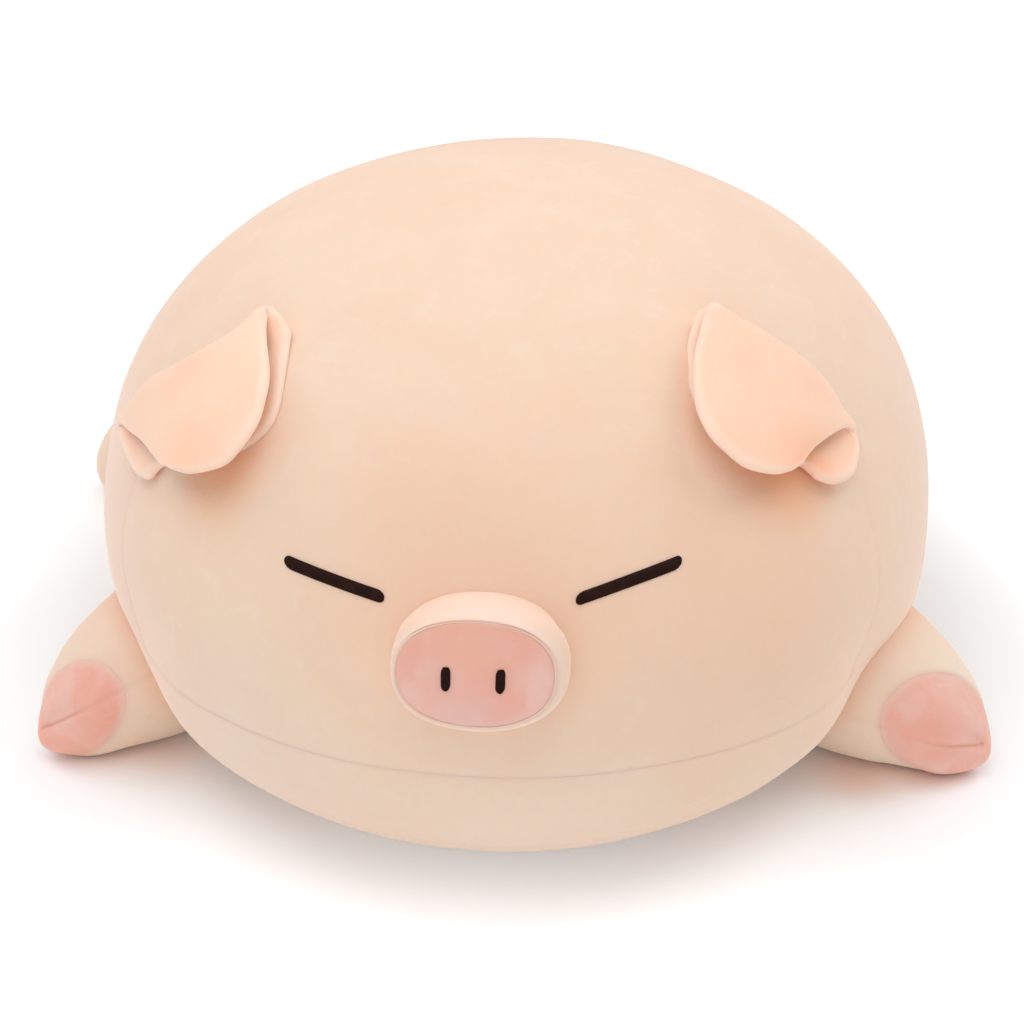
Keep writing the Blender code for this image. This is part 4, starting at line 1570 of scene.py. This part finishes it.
studio = {
    "ambient": 0.445,
    "lampTint": (1.0, 0.957, 0.960),
    "lampAim": (0, -0.02, 0.1),
    "lamps": {
        "sky": {"place": (-0.15, -0.60, 2.2), "power": 21.6, "size": 2.4},
        "front": {"place": (-0.10, -2.50, 0.8), "power": 12.6, "size": 2.0},
        "backLeft": {"place": (-1.70, 0.90, 1.8), "power": 16.6, "size": 1.8},
        "backRight": {"place": (1.70, 0.90, 1.8), "power": 20.0, "size": 1.8},
    },
    "floorReach": 4,
    "floorLevel": -0.0002,
    "floorColour": row(0.885, 0.962, 0.985),
    "floorSockets": {"Roughness": 0.9, "Specular IOR Level": 0.1},
    "floorGrain": (30.0, 3.0),
    "floorGrainShade": 0.99,
    "floorBounce": (0.945, 1.0, 1.0),  # what the floor throws back on the pig
    "paintedFloorShadow": (0.800, 0.660, 0.580),  # painted warm shadow beside the limbs, with their colour bounced on the floor
    "paintedShadowSpots": [  # x, y, reach and share
        (0.170, -0.094, 0.042, 0.85), (0.207, -0.090, 0.028, 0.70),
        (-0.163, -0.103, 0.040, 0.60), (-0.198, -0.107, 0.028, 0.45),
    ],
    "floorGlow": (0.445, 0.480, 0.500),  # seen by the camera alone, to reach the photograph's white
    "glowFar": (0.20, 0.46),  # all of it beyond the second distance, none within the first
    "paintedLightFront": ((0, -0.25, 0), 0.26, 0.76),  # and part of it before the pig, painted light that pales its shadow there: place, reach, share
}
view = {
    "elevation": math.radians(28),
    "azimuth": math.radians(4.5),
    "distance": 1.6,
    "centre": row(0, 0, 0.15),
    "shift": (0.00187, 0.03714),  # how far it looks to the left of the centre and below it
    "sensor": 36,
    "focal": 3312 / 1024,  # in picture widths
}


def makeWorld():
    world = bpy.data.worlds.new("studioWorld")
    bpy.context.scene.world = world
    shader = Shader(world)
    back = shader.tree.nodes["Background"]
    shader.fill(back.inputs["Color"], studio["lampTint"])
    shader.fill(back.inputs["Strength"], studio["ambient"])
    white = shader.node("ShaderNodeBackground", {"Color": (1, 1, 1), "Strength": 1.0})
    seen = shader.rays("Camera").larger(shader.rays("Glossy")).larger(shader.rays("Transmission"))
    shader.show(shader.node("ShaderNodeMixShader", {0: seen, 1: back.outputs[0], 2: white.outputs[0]}))


def floorFinish():
    finish = Finish("paleFloor")
    colour = studio["floorColour"]
    tone = finish.mix(finish.noise(*studio["floorGrain"]), colour, colour * studio["floorGrainShade"])
    shadowWarmth = 0.0
    for x, y, reach, most in studio["paintedShadowSpots"]:
        shadowWarmth = finish.nearness((x, y, 0), reach) * most + shadowWarmth
    tone = finish.mix(shadowWarmth.between(0.0, 1.0), tone, studio["paintedFloorShadow"])
    seen = finish.rays("Camera")
    tone = finish.mix(seen, studio["floorBounce"], tone)
    finish.set({"Base Color": tone, **studio["floorSockets"]})
    glow, nothing = (
        finish.node("ShaderNodeEmission", {"Color": colour, "Strength": strength}).outputs[0]
        for colour, strength in ((studio["floorGlow"], 1.0), ((0, 0, 0), 0.0))
    )
    place, reach, most = studio["paintedLightFront"]
    far = finish.distance((0, 0, 0)).between(*studio["glowFar"])
    share = (far + finish.nearness(place, reach) * most) * seen
    pick = finish.node("ShaderNodeMixShader", {0: share, 1: nothing, 2: glow})
    lit = finish.principled.outputs[0]
    finish.show(finish.node("ShaderNodeAddShader", {0: lit, 1: pick.outputs[0]}))
    return finish.material


def makeFloor():
    reach, level = studio["floorReach"], studio["floorLevel"]
    corners = [(x * reach, y * reach, level) for x, y in ((-1, -1), (1, -1), (1, 1), (-1, 1))]
    floor = makePiece("floor", corners, [(0, 1, 2, 3)], floorFinish())


def pointTo(piece, place, direction):
    piece.location = place
    piece.rotation_euler = Vector(direction).to_track_quat("-Z", "Y").to_euler()


def makeLamp(name, lamp):
    data = bpy.data.lights.new(name + "Lamp", "AREA")
    data.energy = lamp["power"]
    data.shape = "DISK"
    data.size = lamp["size"]
    data.color = studio["lampTint"]
    aim = Vector(studio["lampAim"]) - Vector(lamp["place"])
    pointTo(linked(name + "Lamp", data), lamp["place"], aim)


def makeCamera():
    azimuth, level = view["azimuth"], math.cos(view["elevation"])
    forward = row(-math.sin(azimuth) * level, math.cos(azimuth) * level, -math.sin(view["elevation"]))
    right = row(math.cos(azimuth), math.sin(azimuth), 0)
    aside, below = view["shift"]
    aim = forward - aside * right - below * np.cross(right, forward)
    data = bpy.data.cameras.new("camera")
    data.sensor_width = view["sensor"]
    data.lens = view["focal"] * view["sensor"]
    camera = linked("camera", data)
    pointTo(camera, view["centre"] - forward * view["distance"], aim)
    bpy.context.scene.camera = camera


makeWorld()
makeFloor()
for lampName, lamp in studio["lamps"].items():
    makeLamp(lampName, lamp)
makeCamera()
bpy.context.scene.view_settings.view_transform = "Standard"
print("studio ready")
